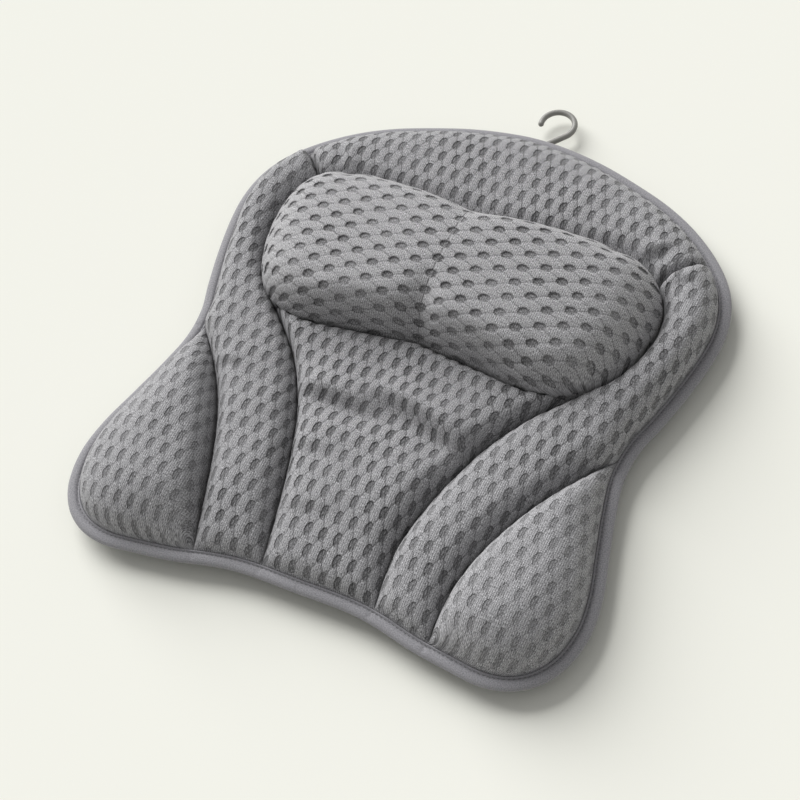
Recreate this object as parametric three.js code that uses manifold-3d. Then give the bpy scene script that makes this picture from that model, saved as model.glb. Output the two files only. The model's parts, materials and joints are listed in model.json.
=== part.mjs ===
// Bath pillow: a quilted air-mesh pad with wings, a two-lobed head bolster sewn on its upper half, a bound
// edge, six suction cups on the back and a moulded hook that swings in a webbing loop.
// Millimetres, +Z up. The pillow lies on the rims of its cups, its front face up and its hook towards +Y.
import * as THREE from "three";
import { mergeVertices } from "three/addons/utils/BufferGeometryUtils.js";
import Module from "manifold-3d";

const wasm = await Module();
wasm.setup();

// Overall body, to the outside of the bound edge
const bodyWidth = 370;
const bodyLength = 415;
// Running clearance between pieces that rest on each other, and the stitched line between two chambers
const clearance = 0.3;
const seamWidth = 1.6;
// Suction cup: a bell with a flat rim, a neck and a button head
const cupRimRadius = 28;
const cupRimLand = 2;
const cupBellHeight = 10.4;
const cupHollowHeight = 7;
const cupShoulderRadius = 8;
const cupNeckRadius = 4.4;
const cupHeadRadius = 8;
const cupHeadHeight = 2.6;
// Eyelet and reinforcing patch round each neck
const neckClearance = 0.8;
const eyeletWall = 1;
const eyeletFlange = 3;
const eyeletThickness = 0.6;
const patchRadius = 21;
const patchThickness = 1.1;
// Cloths
const backThickness = 1.2;
const meshThickness = 3;
const seamThickness = 2;
// How far the wings' pointed ends stop short of the corners that their seams make
const wingTrim = 9;
// Crowns of the chambers above their seams
const centreCrown = 16;
const channelCrown = 19;
const wingCrown = 18;
const bandCrown = 18;
// Bolster: the room from its lobes to the sides and to the top edge, its depth, the line of bare cloth round
// its foot, the height of its base pad, its crown and the dimple at its middle seam
const bolsterSideRoom = 42;
const bolsterTopRoom = 91;
const bolsterDepth = 125;
const bolsterRoom = 1;
const basePadHeight = 7;
const bolsterCrown = 45;
const dimpleDepth = 6;
const dimpleWidth = 24;
const bolsterLength = bodyWidth - 2 * bolsterSideRoom;
const bolsterFront = bodyLength - bolsterTopRoom - bolsterDepth;
// Binding tape, folded over the edge
const bindingWidth = 9;
const bindingCloth = 1.1;
const bindingSlot = 1.8;
const bindingNose = 1.4;
// Hook: a round rod bent to a ring, on an eye with a bar for the webbing
const hookRod = 4.4;
const hookRingRadius = 12.5;
const hookRingOffset = 3.4;
const hookBend = 10;
const hookReach = 21.6;
const eyePlate = 3.2;
const eyeInnerWidth = 17;
const eyeInnerLength = 5;
const hookBarInset = 17;
// Webbing loop that is sewn to the back
const webbingWidth = 15.5;
const webbingThickness = 1.2;
const webbingTaper = 13;
const webbingSewn = 9;
// Angles of the hook: where the ring leaves the rod's slanting run, and its tip
const hookLead = THREE.MathUtils.degToRad(40);
const hookTip = THREE.MathUtils.degToRad(193);
// How full the chambers' cross sections and ends are: powers of a sine
const sidePower = 0.8;
const endPower = 0.5;
const bolsterSidePower = 0.62;
const bolsterEndPower = 0.75;
// How much the rows of a chamber crowd towards its ends
const crowdShare = 0.4;
// A chamber narrower than this many times its layers draws them closer together
const spanLimit = 2.4;
// The bell's curve, from its rim to its shoulder: a power of the share of the way
const bellPower = 1.7;
// Counts of facets: chambers are cells across and cells along
const edgeSteps = 80;
const finePoints = 640;
const seamPoints = 12;
const padSteps = 20;
const centreGrid = [12, 8];
const channelGrid = [6, 19];
const wingGrid = [6, 10];
const bandGrid = [6, 18];
const bolsterGrid = [10, 8];
const cupSides = 16;
const bellSteps = 3;
const eyeletSides = 12;
const rodSides = 8;
const rodSteps = 32;
const bendSteps = 5;

// Outline of the right half, from the bottom middle round to the top middle: shares of half the body's
// width and of its length
const outlineShares = [
  [0, 0.0366], [0.216, 0.036], [0.324, 0.029], [0.459, 0.015], [0.595, 0.006], [0.73, 0], [0.822, 0.008],
  [0.892, 0.026], [0.941, 0.05], [0.978, 0.083], [1, 0.138], [0.987, 0.199], [0.946, 0.271], [0.905, 0.343],
  [0.881, 0.403], [0.888, 0.459], [0.922, 0.512], [0.962, 0.584], [0.991, 0.656], [0.998, 0.705],
  [0.984, 0.753], [0.942, 0.801], [0.859, 0.849], [0.734, 0.897], [0.595, 0.9335], [0.432, 0.962],
  [0.27, 0.984], [0.108, 0.997], [0, 1],
];
// Corners of the seams on the edge, as shares of the same two sizes, and the seams between their corners,
// from the bottom up, as shares of the way across and up. The seams drift to the right towards the bottom
// edge, as on the pillow in the photograph, so each side has its own
const leftFootShares = { inner: [0.153, 0.056], outer: [0.406, 0.038] };
const rightFootShares = { inner: [0.287, 0.056], outer: [0.512, 0.038] };
const waistShares = [0.832, 0.429];
const shoulderShares = [0.865, 0.84];
const leftSeamShares = {
  inner: [[0.087, 0.2], [0.193, 0.4], [0.346, 0.6], [0.593, 0.8]],
  outer: [[0.122, 0.2], [0.252, 0.4], [0.423, 0.6], [0.666, 0.8]],
};
const rightSeamShares = {
  inner: [[-0.06, 0.2], [0.026, 0.4], [0.205, 0.6], [0.499, 0.8]],
  outer: [[0.009, 0.2], [0.119, 0.4], [0.347, 0.6], [0.666, 0.8]],
};
// Foot of the bolster, right half, from its lower middle round its end to its upper middle: shares of half
// its length and of its depth
const bolsterShares = [
  [0, 0.072], [0.315, 0.03], [0.615, 0], [0.825, 0.1], [0.958, 0.344], [1, 0.616], [0.965, 0.808],
  [0.853, 0.945], [0.671, 1], [0.315, 0.98], [0, 0.95],
];
// Corners of the seams on the bolster's foot: shares of the same two sizes
const bolsterCornerShares = [0.8, 0.083];
const bolsterShoulderShares = [0.89, 0.91];
// Middles of the cups' necks, right half: the top one as shares of half the body's width and of the room
// above the bolster, the middle one as the bolster's foot is, the bottom one as the outline is
const topCupShares = [0.475, 0.38];
const middleCupShares = [0.763, 0.493];
const bottomCupShares = [0.724, 0.146];

// Heights of the layers, from the rims of the cups up
const eyeletLow = cupBellHeight + clearance;
const patchLow = eyeletLow + eyeletThickness + clearance;
const backLow = patchLow + patchThickness + clearance;
const backHigh = backLow + backThickness;
const padFloor = backHigh + clearance;
const eyeletHigh = padFloor + eyeletThickness;
const headLow = eyeletHigh + clearance;
const headHigh = headLow + cupHeadHeight;
const bolsterFloor = padFloor + basePadHeight + clearance;
const bindingMiddle = backLow + backThickness / 2;

// Finishes
const finish = (color, roughness, metalness = 0) =>
  new THREE.MeshStandardMaterial({ color, roughness, metalness });
const meshFinish = finish(0x858585, 0.9);
const fillFinish = finish(0xe6e4de, 1);
const backFinish = finish(0x8b8b8d, 0.9);
const tapeFinish = finish(0x96959a, 0.75);
const webbingFinish = finish(0x7d7c80, 0.8);
const hookFinish = finish(0x8d8c86, 0.4);
const cupFinish = finish(0xd5d8da, 0.25);
const eyeletFinish = finish(0xb9babc, 0.35, 0.6);

const pillow = new THREE.Group();

function add(name, geometry, material) {
  geometry.computeVertexNormals();
  const mesh = new THREE.Mesh(geometry, material);
  mesh.name = name;
  pillow.add(mesh);
  return mesh;
}

// A closed geometry from triangles in any one turn: they are turned to face out
function closedGeometry(triangles) {
  const volume = triangles.reduce((sum, [a, b, c]) => sum + a.dot(b.clone().cross(c)), 0);
  const turned = volume < 0 ? triangles.map(([a, b, c]) => [a, c, b]) : triangles;
  return new THREE.BufferGeometry().setFromPoints(turned.flat());
}

function solidOf(geometry) {
  const bare = geometry.clone();
  bare.deleteAttribute("normal");
  bare.deleteAttribute("uv");
  const merged = mergeVertices(bare);
  return new wasm.Manifold(new wasm.Mesh({
    numProp: 3,
    vertProperties: merged.attributes.position.array,
    triVerts: new Uint32Array(merged.index.array),
  }));
}

function geometryOf(solid) {
  const mesh = solid.getMesh();
  const geometry = new THREE.BufferGeometry();
  geometry.setAttribute("position", new THREE.BufferAttribute(mesh.vertProperties, 3));
  geometry.setIndex(new THREE.BufferAttribute(mesh.triVerts, 1));
  return geometry.toNonIndexed();
}

// Triangles between two rings of points that run side by side
function band(ringA, ringB, closed = true) {
  const triangles = [];
  const count = closed ? ringA.length : ringA.length - 1;
  for (let i = 0; i < count; i++) {
    const j = (i + 1) % ringA.length;
    triangles.push([ringA[i], ringA[j], ringB[j]], [ringA[i], ringB[j], ringB[i]]);
  }
  return triangles;
}

// Triangles that fill a flat ring of points, in the ring's own turn
function lid(ring) {
  const contour = ring.map((p) => new THREE.Vector2(p.x, p.y));
  const faces = THREE.ShapeUtils.triangulateShape(contour, []).map((face) => face.map((i) => ring[i]));
  return THREE.ShapeUtils.isClockWise(contour) ? flipped(faces) : faces;
}

const flipped = (triangles) => triangles.map(([a, b, c]) => [a, c, b]);
const atHeight = (ring, z) => ring.map((p) => new THREE.Vector3(p.x, p.y, z));
const lastOf = (points) => points[points.length - 1];
const mirrored = (points) => points.map((p) => new THREE.Vector2(-p.x, p.y));
const placeOnBody = ([x, y]) => new THREE.Vector2(x * bodyWidth / 2, y * bodyLength);

// Plan curves of the body

const rightOutline = outlineShares.map(placeOnBody);
const wholeOutline = [...rightOutline, ...mirrored(rightOutline.slice(1, -1)).reverse()];
const edgeCurve = new THREE.CatmullRomCurve3(
  wholeOutline.map((p) => new THREE.Vector3(p.x, p.y, 0)), true, "centripetal");

// Points of the outline moved inwards, in even steps from the bottom middle, anticlockwise from above
function insetOutline(inset, steps) {
  return Array.from({ length: steps }, (_, i) => {
    const point = edgeCurve.getPointAt(i / steps);
    const run = edgeCurve.getTangentAt(i / steps);
    return new THREE.Vector2(point.x - run.y * inset, point.y + run.x * inset);
  });
}

const nearestOf = (points, place) => points.reduce((best, p) =>
  (p.distanceTo(place) < best.distanceTo(place) ? p : best));

// The stretch of a row of points between the two that lie nearest to two places
function stretch(points, from, to, count) {
  const low = points.indexOf(nearestOf(points, from));
  const high = points.indexOf(nearestOf(points, to));
  return new THREE.SplineCurve(points.slice(low, high + 1)).getSpacedPoints(count);
}

const edgeInside = insetOutline(bindingWidth + clearance, finePoints);
const edgeCorner = (shares) => nearestOf(edgeInside, placeOnBody(shares));
const edgeStretch = (from, to, count) => stretch(edgeInside, from, to, count);

// A place on the bolster's foot, or on a line that runs outside it by some room
const placeAround = (room) => ([x, y]) => new THREE.Vector2(
  x * (bolsterLength / 2 + room), bolsterFront - room + y * (bolsterDepth + 2 * room));
const footAround = (room) =>
  new THREE.SplineCurve(bolsterShares.map(placeAround(room))).getSpacedPoints(finePoints);
const bolsterFoot = footAround(0);
const bolsterEnd = bolsterFoot.reduce((best, p) => (p.x > best.x ? p : best));
// The chambers round the bolster stop at a line just outside its foot
const seatFoot = footAround(bolsterRoom);

const seatPlace = (shares) => nearestOf(seatFoot, placeAround(bolsterRoom)(shares));

// Corners where the seams meet, right half
const waist = edgeCorner(waistShares);
const shoulder = edgeCorner(shoulderShares);
const seatCorner = seatPlace(bolsterCornerShares);
const seatShoulder = seatPlace(bolsterShoulderShares);

// A seam from one corner up to another, through places at shares of the way
function seamBetween(foot, top, shares) {
  const places = shares.map(([across, up]) => new THREE.Vector2(
    THREE.MathUtils.lerp(foot.x, top.x, across), THREE.MathUtils.lerp(foot.y, top.y, up)));
  return new THREE.SplineCurve([foot, ...places, top]).getSpacedPoints(seamPoints);
}

// The seams of one side, drawn on the right half
function seamsOf(footShares, seamShares) {
  const innerFoot = edgeCorner(footShares.inner);
  const outerFoot = edgeCorner(footShares.outer);
  const inner = seamBetween(innerFoot, seatCorner, seamShares.inner);
  const outer = seamBetween(outerFoot, waist, seamShares.outer);
  return { innerFoot, outerFoot, inner, outer };
}
const leftSeams = seamsOf(leftFootShares, leftSeamShares);
const rightSeams = seamsOf(rightFootShares, rightSeamShares);

// Chambers

const total = (points) => points.slice(1).reduce((sum, p, i) => sum + p.distanceTo(points[i]), 0);
const straight = (a, b) => [a, a.clone().lerp(b, 0.5), b];

// A chamber's sides: left and right run upwards, low and high run from left to right
function chamber(left, right, low, high, [across, along], crown, ends = "sewn") {
  const lowEnd = low ?? straight(left[0], right[0]);
  const highEnd = high ?? straight(lastOf(left), lastOf(right));
  const curves = [left, right, lowEnd, highEnd];
  const [sideA, sideB, endA, endB] = curves.map((points) => new THREE.SplineCurve(points));
  const length = (total(left) + total(right)) / 2;
  return { sideA, sideB, endA, endB, across, along, crown, length, ends };
}

// A point of the chamber's plan, from its four sides
function planPoint({ sideA, sideB, endA, endB }, s, t) {
  const a = sideA.getPointAt(t);
  const b = sideB.getPointAt(t);
  const c = endA.getPointAt(s);
  const d = endB.getPointAt(s);
  const blend = (key) => {
    const corners = (1 - s) * (1 - t) * sideA.getPointAt(0)[key] + s * (1 - t) * sideB.getPointAt(0)[key]
      + (1 - s) * t * sideA.getPointAt(1)[key] + s * t * sideB.getPointAt(1)[key];
    return (1 - s) * a[key] + s * b[key] + (1 - t) * c[key] + t * d[key] - corners;
  };
  return new THREE.Vector2(blend("x"), blend("y"));
}

const fullInset = seamWidth / 2 + meshThickness + clearance;

// One skin of a chamber: inset from its seams, on a base height, crowned
function skin(shape, inset, base, crown) {
  const rows = [];
  for (let j = 0; j <= shape.along; j++) {
    const turn = j / shape.along;
    const open = shape.ends === "open";
    const share = open ? Math.sin(Math.PI * turn / 2)
      : THREE.MathUtils.lerp(turn, (1 - Math.cos(Math.PI * turn)) / 2, crowdShare);
    const rise = open ? Math.max(1 - share ** 2, 0) ** (bolsterEndPower / 2)
      : (4 * share * (1 - share)) ** (endPower / 2);
    const t = (inset + share * (shape.length - 2 * inset)) / shape.length;
    const span = shape.sideA.getPointAt(t).distanceTo(shape.sideB.getPointAt(t));
    const drawn = inset * Math.min(1, span / (spanLimit * fullInset));
    const row = [];
    for (let i = 0; i <= shape.across; i++) {
      const angle = Math.PI * i / shape.across;
      const s = (drawn + (1 - Math.cos(angle)) / 2 * (span - 2 * drawn)) / span;
      const place = planPoint(shape, s, t);
      const dimple = open ? dimpleDepth * Math.exp(-((place.x / dimpleWidth) ** 2)) : 0;
      const power = open ? bolsterSidePower : sidePower;
      const height = (crown - dimple) * Math.max(Math.sin(angle), 0) ** power * rise;
      row.push(new THREE.Vector3(place.x, place.y, base + height));
    }
    rows.push(row);
  }
  return rows;
}

function facesOf(rows) {
  return rows.slice(1).flatMap((row, j) => band(rows[j], row, false));
}

// The skin's edge, all the way round
function rimOf(rows) {
  const low = rows[0];
  const right = rows.slice(1).map((row) => lastOf(row));
  const high = lastOf(rows).slice(0, -1).reverse();
  const left = rows.slice(1, -1).map((row) => row[0]).reverse();
  return [...low, ...right, ...high, ...left];
}

// A cover is a thick cloth, open below; its filling lies inside it on the cloth under it
function coverGeometry(shape, floor) {
  const outer = skin(shape, seamWidth / 2, floor + seamThickness, shape.crown);
  const inner = skin(shape, seamWidth / 2 + meshThickness, floor + 2 * clearance, innerCrown(shape));
  const outerRim = rimOf(outer);
  const innerRim = rimOf(inner);
  const outerFoot = atHeight(outerRim, floor);
  const innerFoot = atHeight(innerRim, floor);
  return closedGeometry([
    ...facesOf(outer),
    ...flipped(facesOf(inner)),
    ...flipped(band(outerRim, outerFoot)),
    ...flipped(band(outerFoot, innerFoot)),
    ...flipped(band(innerFoot, innerRim)),
  ]);
}

const innerCrown = (shape) => shape.crown + seamThickness - meshThickness - clearance;

function fillGeometry(shape, floor) {
  const top = skin(shape, fullInset, floor + clearance, innerCrown(shape));
  const rim = rimOf(top);
  const foot = atHeight(rim, floor);
  return closedGeometry([
    ...facesOf(top),
    ...flipped(band(rim, foot)),
    ...flipped(lid(foot)),
  ]);
}

// Room for the buttons of the cups' heads and their eyelets, cut from below in what lies on the back
const pocketRadius = cupNeckRadius + neckClearance + eyeletWall + eyeletFlange + neckClearance;
const both = [["left", -1], ["right", 1]];
const cupRows = {
  top: new THREE.Vector2(
    topCupShares[0] * bodyWidth / 2, bodyLength - bolsterTopRoom + topCupShares[1] * bolsterTopRoom),
  middle: placeAround(0)(middleCupShares),
  bottom: placeOnBody(bottomCupShares),
};
const cupPlaces = Object.entries(cupRows).flatMap(([row, { x, y }]) =>
  both.map(([side, sign]) => ({ name: `${row}_${side}`, x: sign * x, y })));

function withPockets(geometry) {
  const height = headHigh + clearance - backHigh;
  let solid = solidOf(geometry);
  for (const { x, y } of cupPlaces) {
    const pocket = new THREE.CylinderGeometry(pocketRadius, pocketRadius, height, eyeletSides);
    pocket.rotateX(Math.PI / 2);
    pocket.translate(x, y, backHigh + height / 2);
    solid = solid.subtract(solidOf(pocket));
  }
  return geometryOf(solid);
}

const onSide = (points, sign) => (sign < 0 ? mirrored(points) : points);

function addChamber(name, shape, pockets) {
  add(`${name}_panel`, coverGeometry(shape, padFloor), meshFinish);
  const fill = fillGeometry(shape, padFloor);
  add(`${name}_fill`, pockets ? withPockets(fill) : fill, fillFinish);
}

// Centre panel, from the bottom edge up to the bolster
const seatLowRun = stretch(seatFoot, seatFoot[0], seatCorner, seamPoints);
const seatLowWhole = [...mirrored(seatLowRun).reverse(), ...seatLowRun.slice(1)];
const edgeMiddle = edgeInside[0];
const edgeLowLeft = edgeStretch(edgeMiddle, leftSeams.innerFoot, seamPoints);
const edgeLowRight = edgeStretch(edgeMiddle, rightSeams.innerFoot, seamPoints);
const edgeLowWhole = [...mirrored(edgeLowLeft).reverse(), ...edgeLowRight.slice(1)];
addChamber("centre", chamber(
  mirrored(leftSeams.inner), rightSeams.inner, edgeLowWhole, seatLowWhole, centreGrid, centreCrown), false);

// Channels, from the bottom edge up beside the bolster to the shoulder seams
const besideSeat = stretch(seatFoot, seatCorner, seatShoulder, seamPoints);
const aboveWaist = edgeStretch(waist, shoulder, seamPoints);
for (const [side, sign, seams] of [["left", -1, leftSeams], ["right", 1, rightSeams]]) {
  const channelInner = [...seams.inner, ...besideSeat.slice(1)];
  const channelOuter = [...seams.outer, ...aboveWaist.slice(1)];
  const channelLow = edgeStretch(seams.innerFoot, seams.outerFoot, seamPoints);
  addChamber(`${side}_channel`, chamber(
    onSide(channelInner, sign), onSide(channelOuter, sign), onSide(channelLow, sign), null,
    channelGrid, channelCrown), false);
}

// Wings, outside the outer seams: their pointed ends stop short of the corners
function trimmed(points, cut) {
  const curve = new THREE.SplineCurve(points);
  const share = cut / curve.getLength();
  return Array.from({ length: points.length }, (_, i) =>
    curve.getPointAt(share + (1 - 2 * share) * i / (points.length - 1)));
}
for (const [side, sign, seams] of [["left", -1, leftSeams], ["right", 1, rightSeams]]) {
  const wingInner = trimmed(seams.outer, wingTrim);
  const wingOuter = trimmed(edgeStretch(seams.outerFoot, waist, 2 * seamPoints), wingTrim);
  addChamber(`${side}_wing`, chamber(
    onSide(wingInner, sign), onSide(wingOuter, sign), null, null, wingGrid, wingCrown), true);
}

// Top band, over the bolster from shoulder to shoulder
const seatTopRun = stretch(seatFoot, seatShoulder, lastOf(seatFoot), seamPoints);
const bandInner = [...seatTopRun, ...mirrored(seatTopRun).reverse().slice(1)];
const topRun = edgeStretch(shoulder, new THREE.Vector2(0, bodyLength), seamPoints);
const bandOuter = [...topRun, ...mirrored(topRun).reverse().slice(1)];
addChamber("top_band", chamber(bandInner, bandOuter, null, null, bandGrid, bandCrown), true);

// Bolster: a base pad, and two stuffed halves that meet at the middle seam

const bolsterHalfRing = new THREE.SplineCurve(bolsterFoot).getSpacedPoints(padSteps);
const bolsterRing = [...bolsterHalfRing, ...mirrored(bolsterHalfRing.slice(1, -1)).reverse()];

// A ring of plan points moved inwards along their normals
function shrink(ring, inset) {
  return ring.map((point, i) => {
    const before = ring[(i + ring.length - 1) % ring.length];
    const after = ring[(i + 1) % ring.length];
    const run = after.clone().sub(before).normalize();
    return new THREE.Vector2(point.x - run.y * inset, point.y + run.x * inset);
  });
}

function plate(outline, holes, low, thickness) {
  const shape = new THREE.Shape(outline);
  shape.holes = holes.map((points) => new THREE.Path(points));
  const geometry = new THREE.ExtrudeGeometry(shape, { depth: thickness, bevelEnabled: false });
  geometry.translate(0, 0, low);
  return geometry;
}

const basePad = plate(shrink(bolsterRing, seamWidth / 2), [], padFloor, basePadHeight);
add("bolster_base_pad", withPockets(basePad), fillFinish);

const bolsterLowHalf = stretch(bolsterFoot, bolsterFoot[0], bolsterEnd, padSteps);
const bolsterHighHalf = stretch(bolsterFoot, bolsterEnd, lastOf(bolsterFoot), padSteps).reverse();
for (const [side, sign] of both) {
  const half = chamber(onSide(bolsterLowHalf, sign), onSide(bolsterHighHalf, sign), null, null,
    bolsterGrid, bolsterCrown, "open");
  add(`bolster_cover_${side}`, coverGeometry(half, bolsterFloor), meshFinish);
  add(`bolster_fill_${side}`, fillGeometry(half, bolsterFloor), fillFinish);
}

// Back cover, one flat cloth with a hole for each eyelet
const eyeletInner = cupNeckRadius + neckClearance;
const eyeletOuter = eyeletInner + eyeletWall;
const circle = (radius, x, y) => Array.from({ length: eyeletSides }, (_, i) => {
  const angle = -2 * Math.PI * i / eyeletSides;
  return new THREE.Vector2(x + radius * Math.cos(angle), y + radius * Math.sin(angle));
});
const holes = cupPlaces.map(({ x, y }) => circle(eyeletOuter + clearance, x, y));
const backOutline = insetOutline(bindingNose + clearance, edgeSteps);
add("back_cover", plate(backOutline, holes, backLow, backThickness), backFinish);

// Binding tape: one folded section, swept round the outline
const bindingSection = [
  [bindingWidth, bindingSlot / 2 + bindingCloth],
  [bindingCloth, bindingSlot / 2 + bindingCloth],
  [0, bindingSlot / 2],
  [0, -bindingSlot / 2],
  [bindingCloth, -bindingSlot / 2 - bindingCloth],
  [bindingWidth, -bindingSlot / 2 - bindingCloth],
  [bindingWidth, -bindingSlot / 2],
  [bindingNose, -bindingSlot / 2],
  [bindingNose, bindingSlot / 2],
  [bindingWidth, bindingSlot / 2],
];
const bindingRings = bindingSection.map(([inset, rise]) =>
  atHeight(insetOutline(inset, edgeSteps), bindingMiddle + rise));
add("edge_binding", closedGeometry(bindingRings.flatMap((ring, i) =>
  band(ring, bindingRings[(i + 1) % bindingRings.length]))), tapeFinish);

// Suction cups, eyelets and patches

const revolve = (profile, sides, closed) => {
  const points = closed ? [...profile, profile[0]] : profile;
  return new THREE.LatheGeometry(points.map(([r, z]) => new THREE.Vector2(r, z)), sides).rotateX(Math.PI / 2);
};

// A point of the bell, by the share of the way from its middle out
const bell = (radius, top, share) => [radius, top * (1 - share ** bellPower)];

function cupProfile() {
  const outer = [];
  const inner = [];
  const shoulder = cupShoulderRadius / cupRimRadius;
  for (let i = 0; i <= bellSteps; i++) {
    const share = shoulder + (1 - shoulder) * (bellSteps - i) / bellSteps;
    outer.push(bell(cupRimRadius * share, cupBellHeight, (share - shoulder) / (1 - shoulder)));
  }
  const inside = cupRimRadius - cupRimLand;
  for (let i = 0; i <= bellSteps; i++) {
    const share = i / bellSteps;
    inner.push(bell(inside * share, cupHollowHeight, share));
  }
  const roundOff = cupHeadHeight / 3;
  return [
    ...inner,
    ...outer,
    [cupNeckRadius, cupBellHeight],
    [cupNeckRadius, headLow],
    [cupHeadRadius, headLow],
    [cupHeadRadius, headHigh - roundOff],
    [cupHeadRadius - roundOff, headHigh],
    [0, headHigh],
  ];
}

const eyeletProfile = [
  [eyeletInner, eyeletLow],
  [eyeletOuter + eyeletFlange, eyeletLow],
  [eyeletOuter + eyeletFlange, eyeletLow + eyeletThickness],
  [eyeletOuter, eyeletLow + eyeletThickness],
  [eyeletOuter, padFloor],
  [eyeletOuter + eyeletFlange, padFloor],
  [eyeletOuter + eyeletFlange, eyeletHigh],
  [eyeletInner, eyeletHigh],
];
const patchProfile = [
  [eyeletOuter + clearance, patchLow],
  [patchRadius, patchLow],
  [patchRadius, patchLow + patchThickness],
  [eyeletOuter + clearance, patchLow + patchThickness],
];
for (const { name, x, y } of cupPlaces) {
  add(`suction_cup_${name}`, revolve(cupProfile(), cupSides, false), cupFinish).position.set(x, y, 0);
  add(`eyelet_${name}`, revolve(eyeletProfile, eyeletSides, true), eyeletFinish).position.set(x, y, 0);
  add(`cup_patch_${name}`, revolve(patchProfile, cupSides, true), tapeFinish).position.set(x, y, 0);
}

// Hook and its webbing loop

const loopInner = Math.SQRT1_2 * eyePlate + clearance;
const loopOuter = loopInner + webbingThickness;
const hookHeight = backLow - clearance - loopOuter;
const barPlace = bodyLength - hookBarInset;

function rodPoints() {
  const start = barPlace + eyePlate / 2 + eyeInnerLength + eyePlate / 2;
  const centre = new THREE.Vector2(hookRingOffset, bodyLength + hookReach);
  const aroundRing = (angle) =>
    new THREE.Vector2(Math.cos(angle), Math.sin(angle)).multiplyScalar(hookRingRadius).add(centre);
  const lead = aroundRing(-hookLead);
  const slant = new THREE.Vector2(Math.sin(hookLead), Math.cos(hookLead));
  const run = (lead.x - hookBend * (1 - Math.cos(hookLead))) / Math.sin(hookLead);
  const bendEnd = lead.clone().addScaledVector(slant, -run);
  const points = [new THREE.Vector2(0, start)];
  for (let i = 0; i <= bendSteps; i++) {
    const angle = hookLead * i / bendSteps;
    const x = hookBend * (1 - Math.cos(angle));
    const y = bendEnd.y - hookBend * (Math.sin(hookLead) - Math.sin(angle));
    points.push(new THREE.Vector2(x, y));
  }
  for (let i = 0; i <= 2 * bendSteps; i++) {
    points.push(aroundRing(-hookLead + (hookTip + hookLead) * i / (2 * bendSteps)));
  }
  return points.map((p) => new THREE.Vector3(p.x, p.y, hookHeight));
}

function hookGeometry() {
  const points = rodPoints();
  const section = new THREE.Shape(Array.from({ length: rodSides }, (_, i) => {
    const angle = 2 * Math.PI * (i + 0.5) / rodSides;
    return new THREE.Vector2(Math.cos(angle), Math.sin(angle)).multiplyScalar(hookRod / 2);
  }));
  const path = new THREE.CatmullRomCurve3(points, false, "centripetal");
  const rod = new THREE.ExtrudeGeometry(section, { steps: rodSteps, extrudePath: path });
  const tip = new THREE.SphereGeometry(hookRod / 2, rodSides, rodSides);
  const end = lastOf(points);
  tip.translate(end.x, end.y, end.z);
  const reachX = eyeInnerWidth / 2 + eyePlate;
  const low = barPlace - eyePlate / 2;
  const high = low + eyeInnerLength + 2 * eyePlate;
  const corners = (x, yLow, yHigh) =>
    [[-x, yLow], [x, yLow], [x, yHigh], [-x, yHigh]].map(([a, b]) => new THREE.Vector2(a, b));
  const window = corners(eyeInnerWidth / 2, low + eyePlate, high - eyePlate);
  const eye = plate(corners(reachX, low, high), [window], hookHeight - eyePlate / 2, eyePlate);
  return geometryOf(solidOf(rod).add(solidOf(tip)).add(solidOf(eye)));
}

add("hanging_hook", hookGeometry(), hookFinish);

// The loop's section lies across the bar: x of the shape is the body's length, y its height
function loopGeometry() {
  const shape = new THREE.Shape();
  const hole = new THREE.Path();
  shape.moveTo(-webbingTaper - webbingSewn, loopOuter);
  shape.lineTo(-webbingTaper - webbingSewn, loopOuter - 2 * webbingThickness);
  shape.lineTo(-webbingTaper, loopOuter - 2 * webbingThickness);
  shape.lineTo(0, -loopOuter);
  shape.absarc(0, 0, loopOuter, -Math.PI / 2, Math.PI / 2, false);
  hole.moveTo(-webbingTaper, loopInner);
  hole.lineTo(0, -loopInner);
  hole.absarc(0, 0, loopInner, -Math.PI / 2, Math.PI / 2, false);
  shape.holes.push(hole);
  const geometry = new THREE.ExtrudeGeometry(
    shape, { depth: webbingWidth, bevelEnabled: false, curveSegments: bendSteps });
  geometry.translate(0, 0, -webbingWidth / 2);
  geometry.rotateX(Math.PI / 2);
  geometry.rotateZ(Math.PI / 2);
  geometry.translate(0, barPlace, hookHeight);
  return geometry;
}

add("hanging_loop", loopGeometry(), webbingFinish);

// The origin is the middle of the whole pillow's footprint, level with the cups' rims
const reach = new THREE.Box3().setFromObject(pillow);
const middle = reach.getCenter(new THREE.Vector3());
pillow.position.set(-middle.x, -middle.y, -reach.min.z);

export default pillow;
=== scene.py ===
import json
import math

import bmesh
import bpy
import numpy as np
from mathutils import Matrix, Vector


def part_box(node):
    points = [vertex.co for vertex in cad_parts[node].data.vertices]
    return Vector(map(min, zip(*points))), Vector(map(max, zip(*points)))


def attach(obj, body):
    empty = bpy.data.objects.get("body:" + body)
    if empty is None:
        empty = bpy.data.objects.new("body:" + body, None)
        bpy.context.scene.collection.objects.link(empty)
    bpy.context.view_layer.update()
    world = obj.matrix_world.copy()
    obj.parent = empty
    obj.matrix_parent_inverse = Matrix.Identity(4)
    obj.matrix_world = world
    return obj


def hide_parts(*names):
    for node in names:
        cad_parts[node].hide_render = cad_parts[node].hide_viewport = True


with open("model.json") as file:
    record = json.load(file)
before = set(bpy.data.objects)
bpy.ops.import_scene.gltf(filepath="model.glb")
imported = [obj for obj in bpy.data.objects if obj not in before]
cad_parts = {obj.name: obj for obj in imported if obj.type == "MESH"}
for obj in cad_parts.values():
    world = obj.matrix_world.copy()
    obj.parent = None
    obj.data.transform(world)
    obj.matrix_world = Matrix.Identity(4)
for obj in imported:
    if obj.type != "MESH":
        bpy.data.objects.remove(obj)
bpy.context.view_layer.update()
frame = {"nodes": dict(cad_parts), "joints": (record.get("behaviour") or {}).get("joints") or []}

# Setting: the pillow lies on the rims of its suction cups on a pale floor, in a room of the same colour. A
# broad soft window stands at the upper left, and the room's own light fills in from all round.

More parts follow.
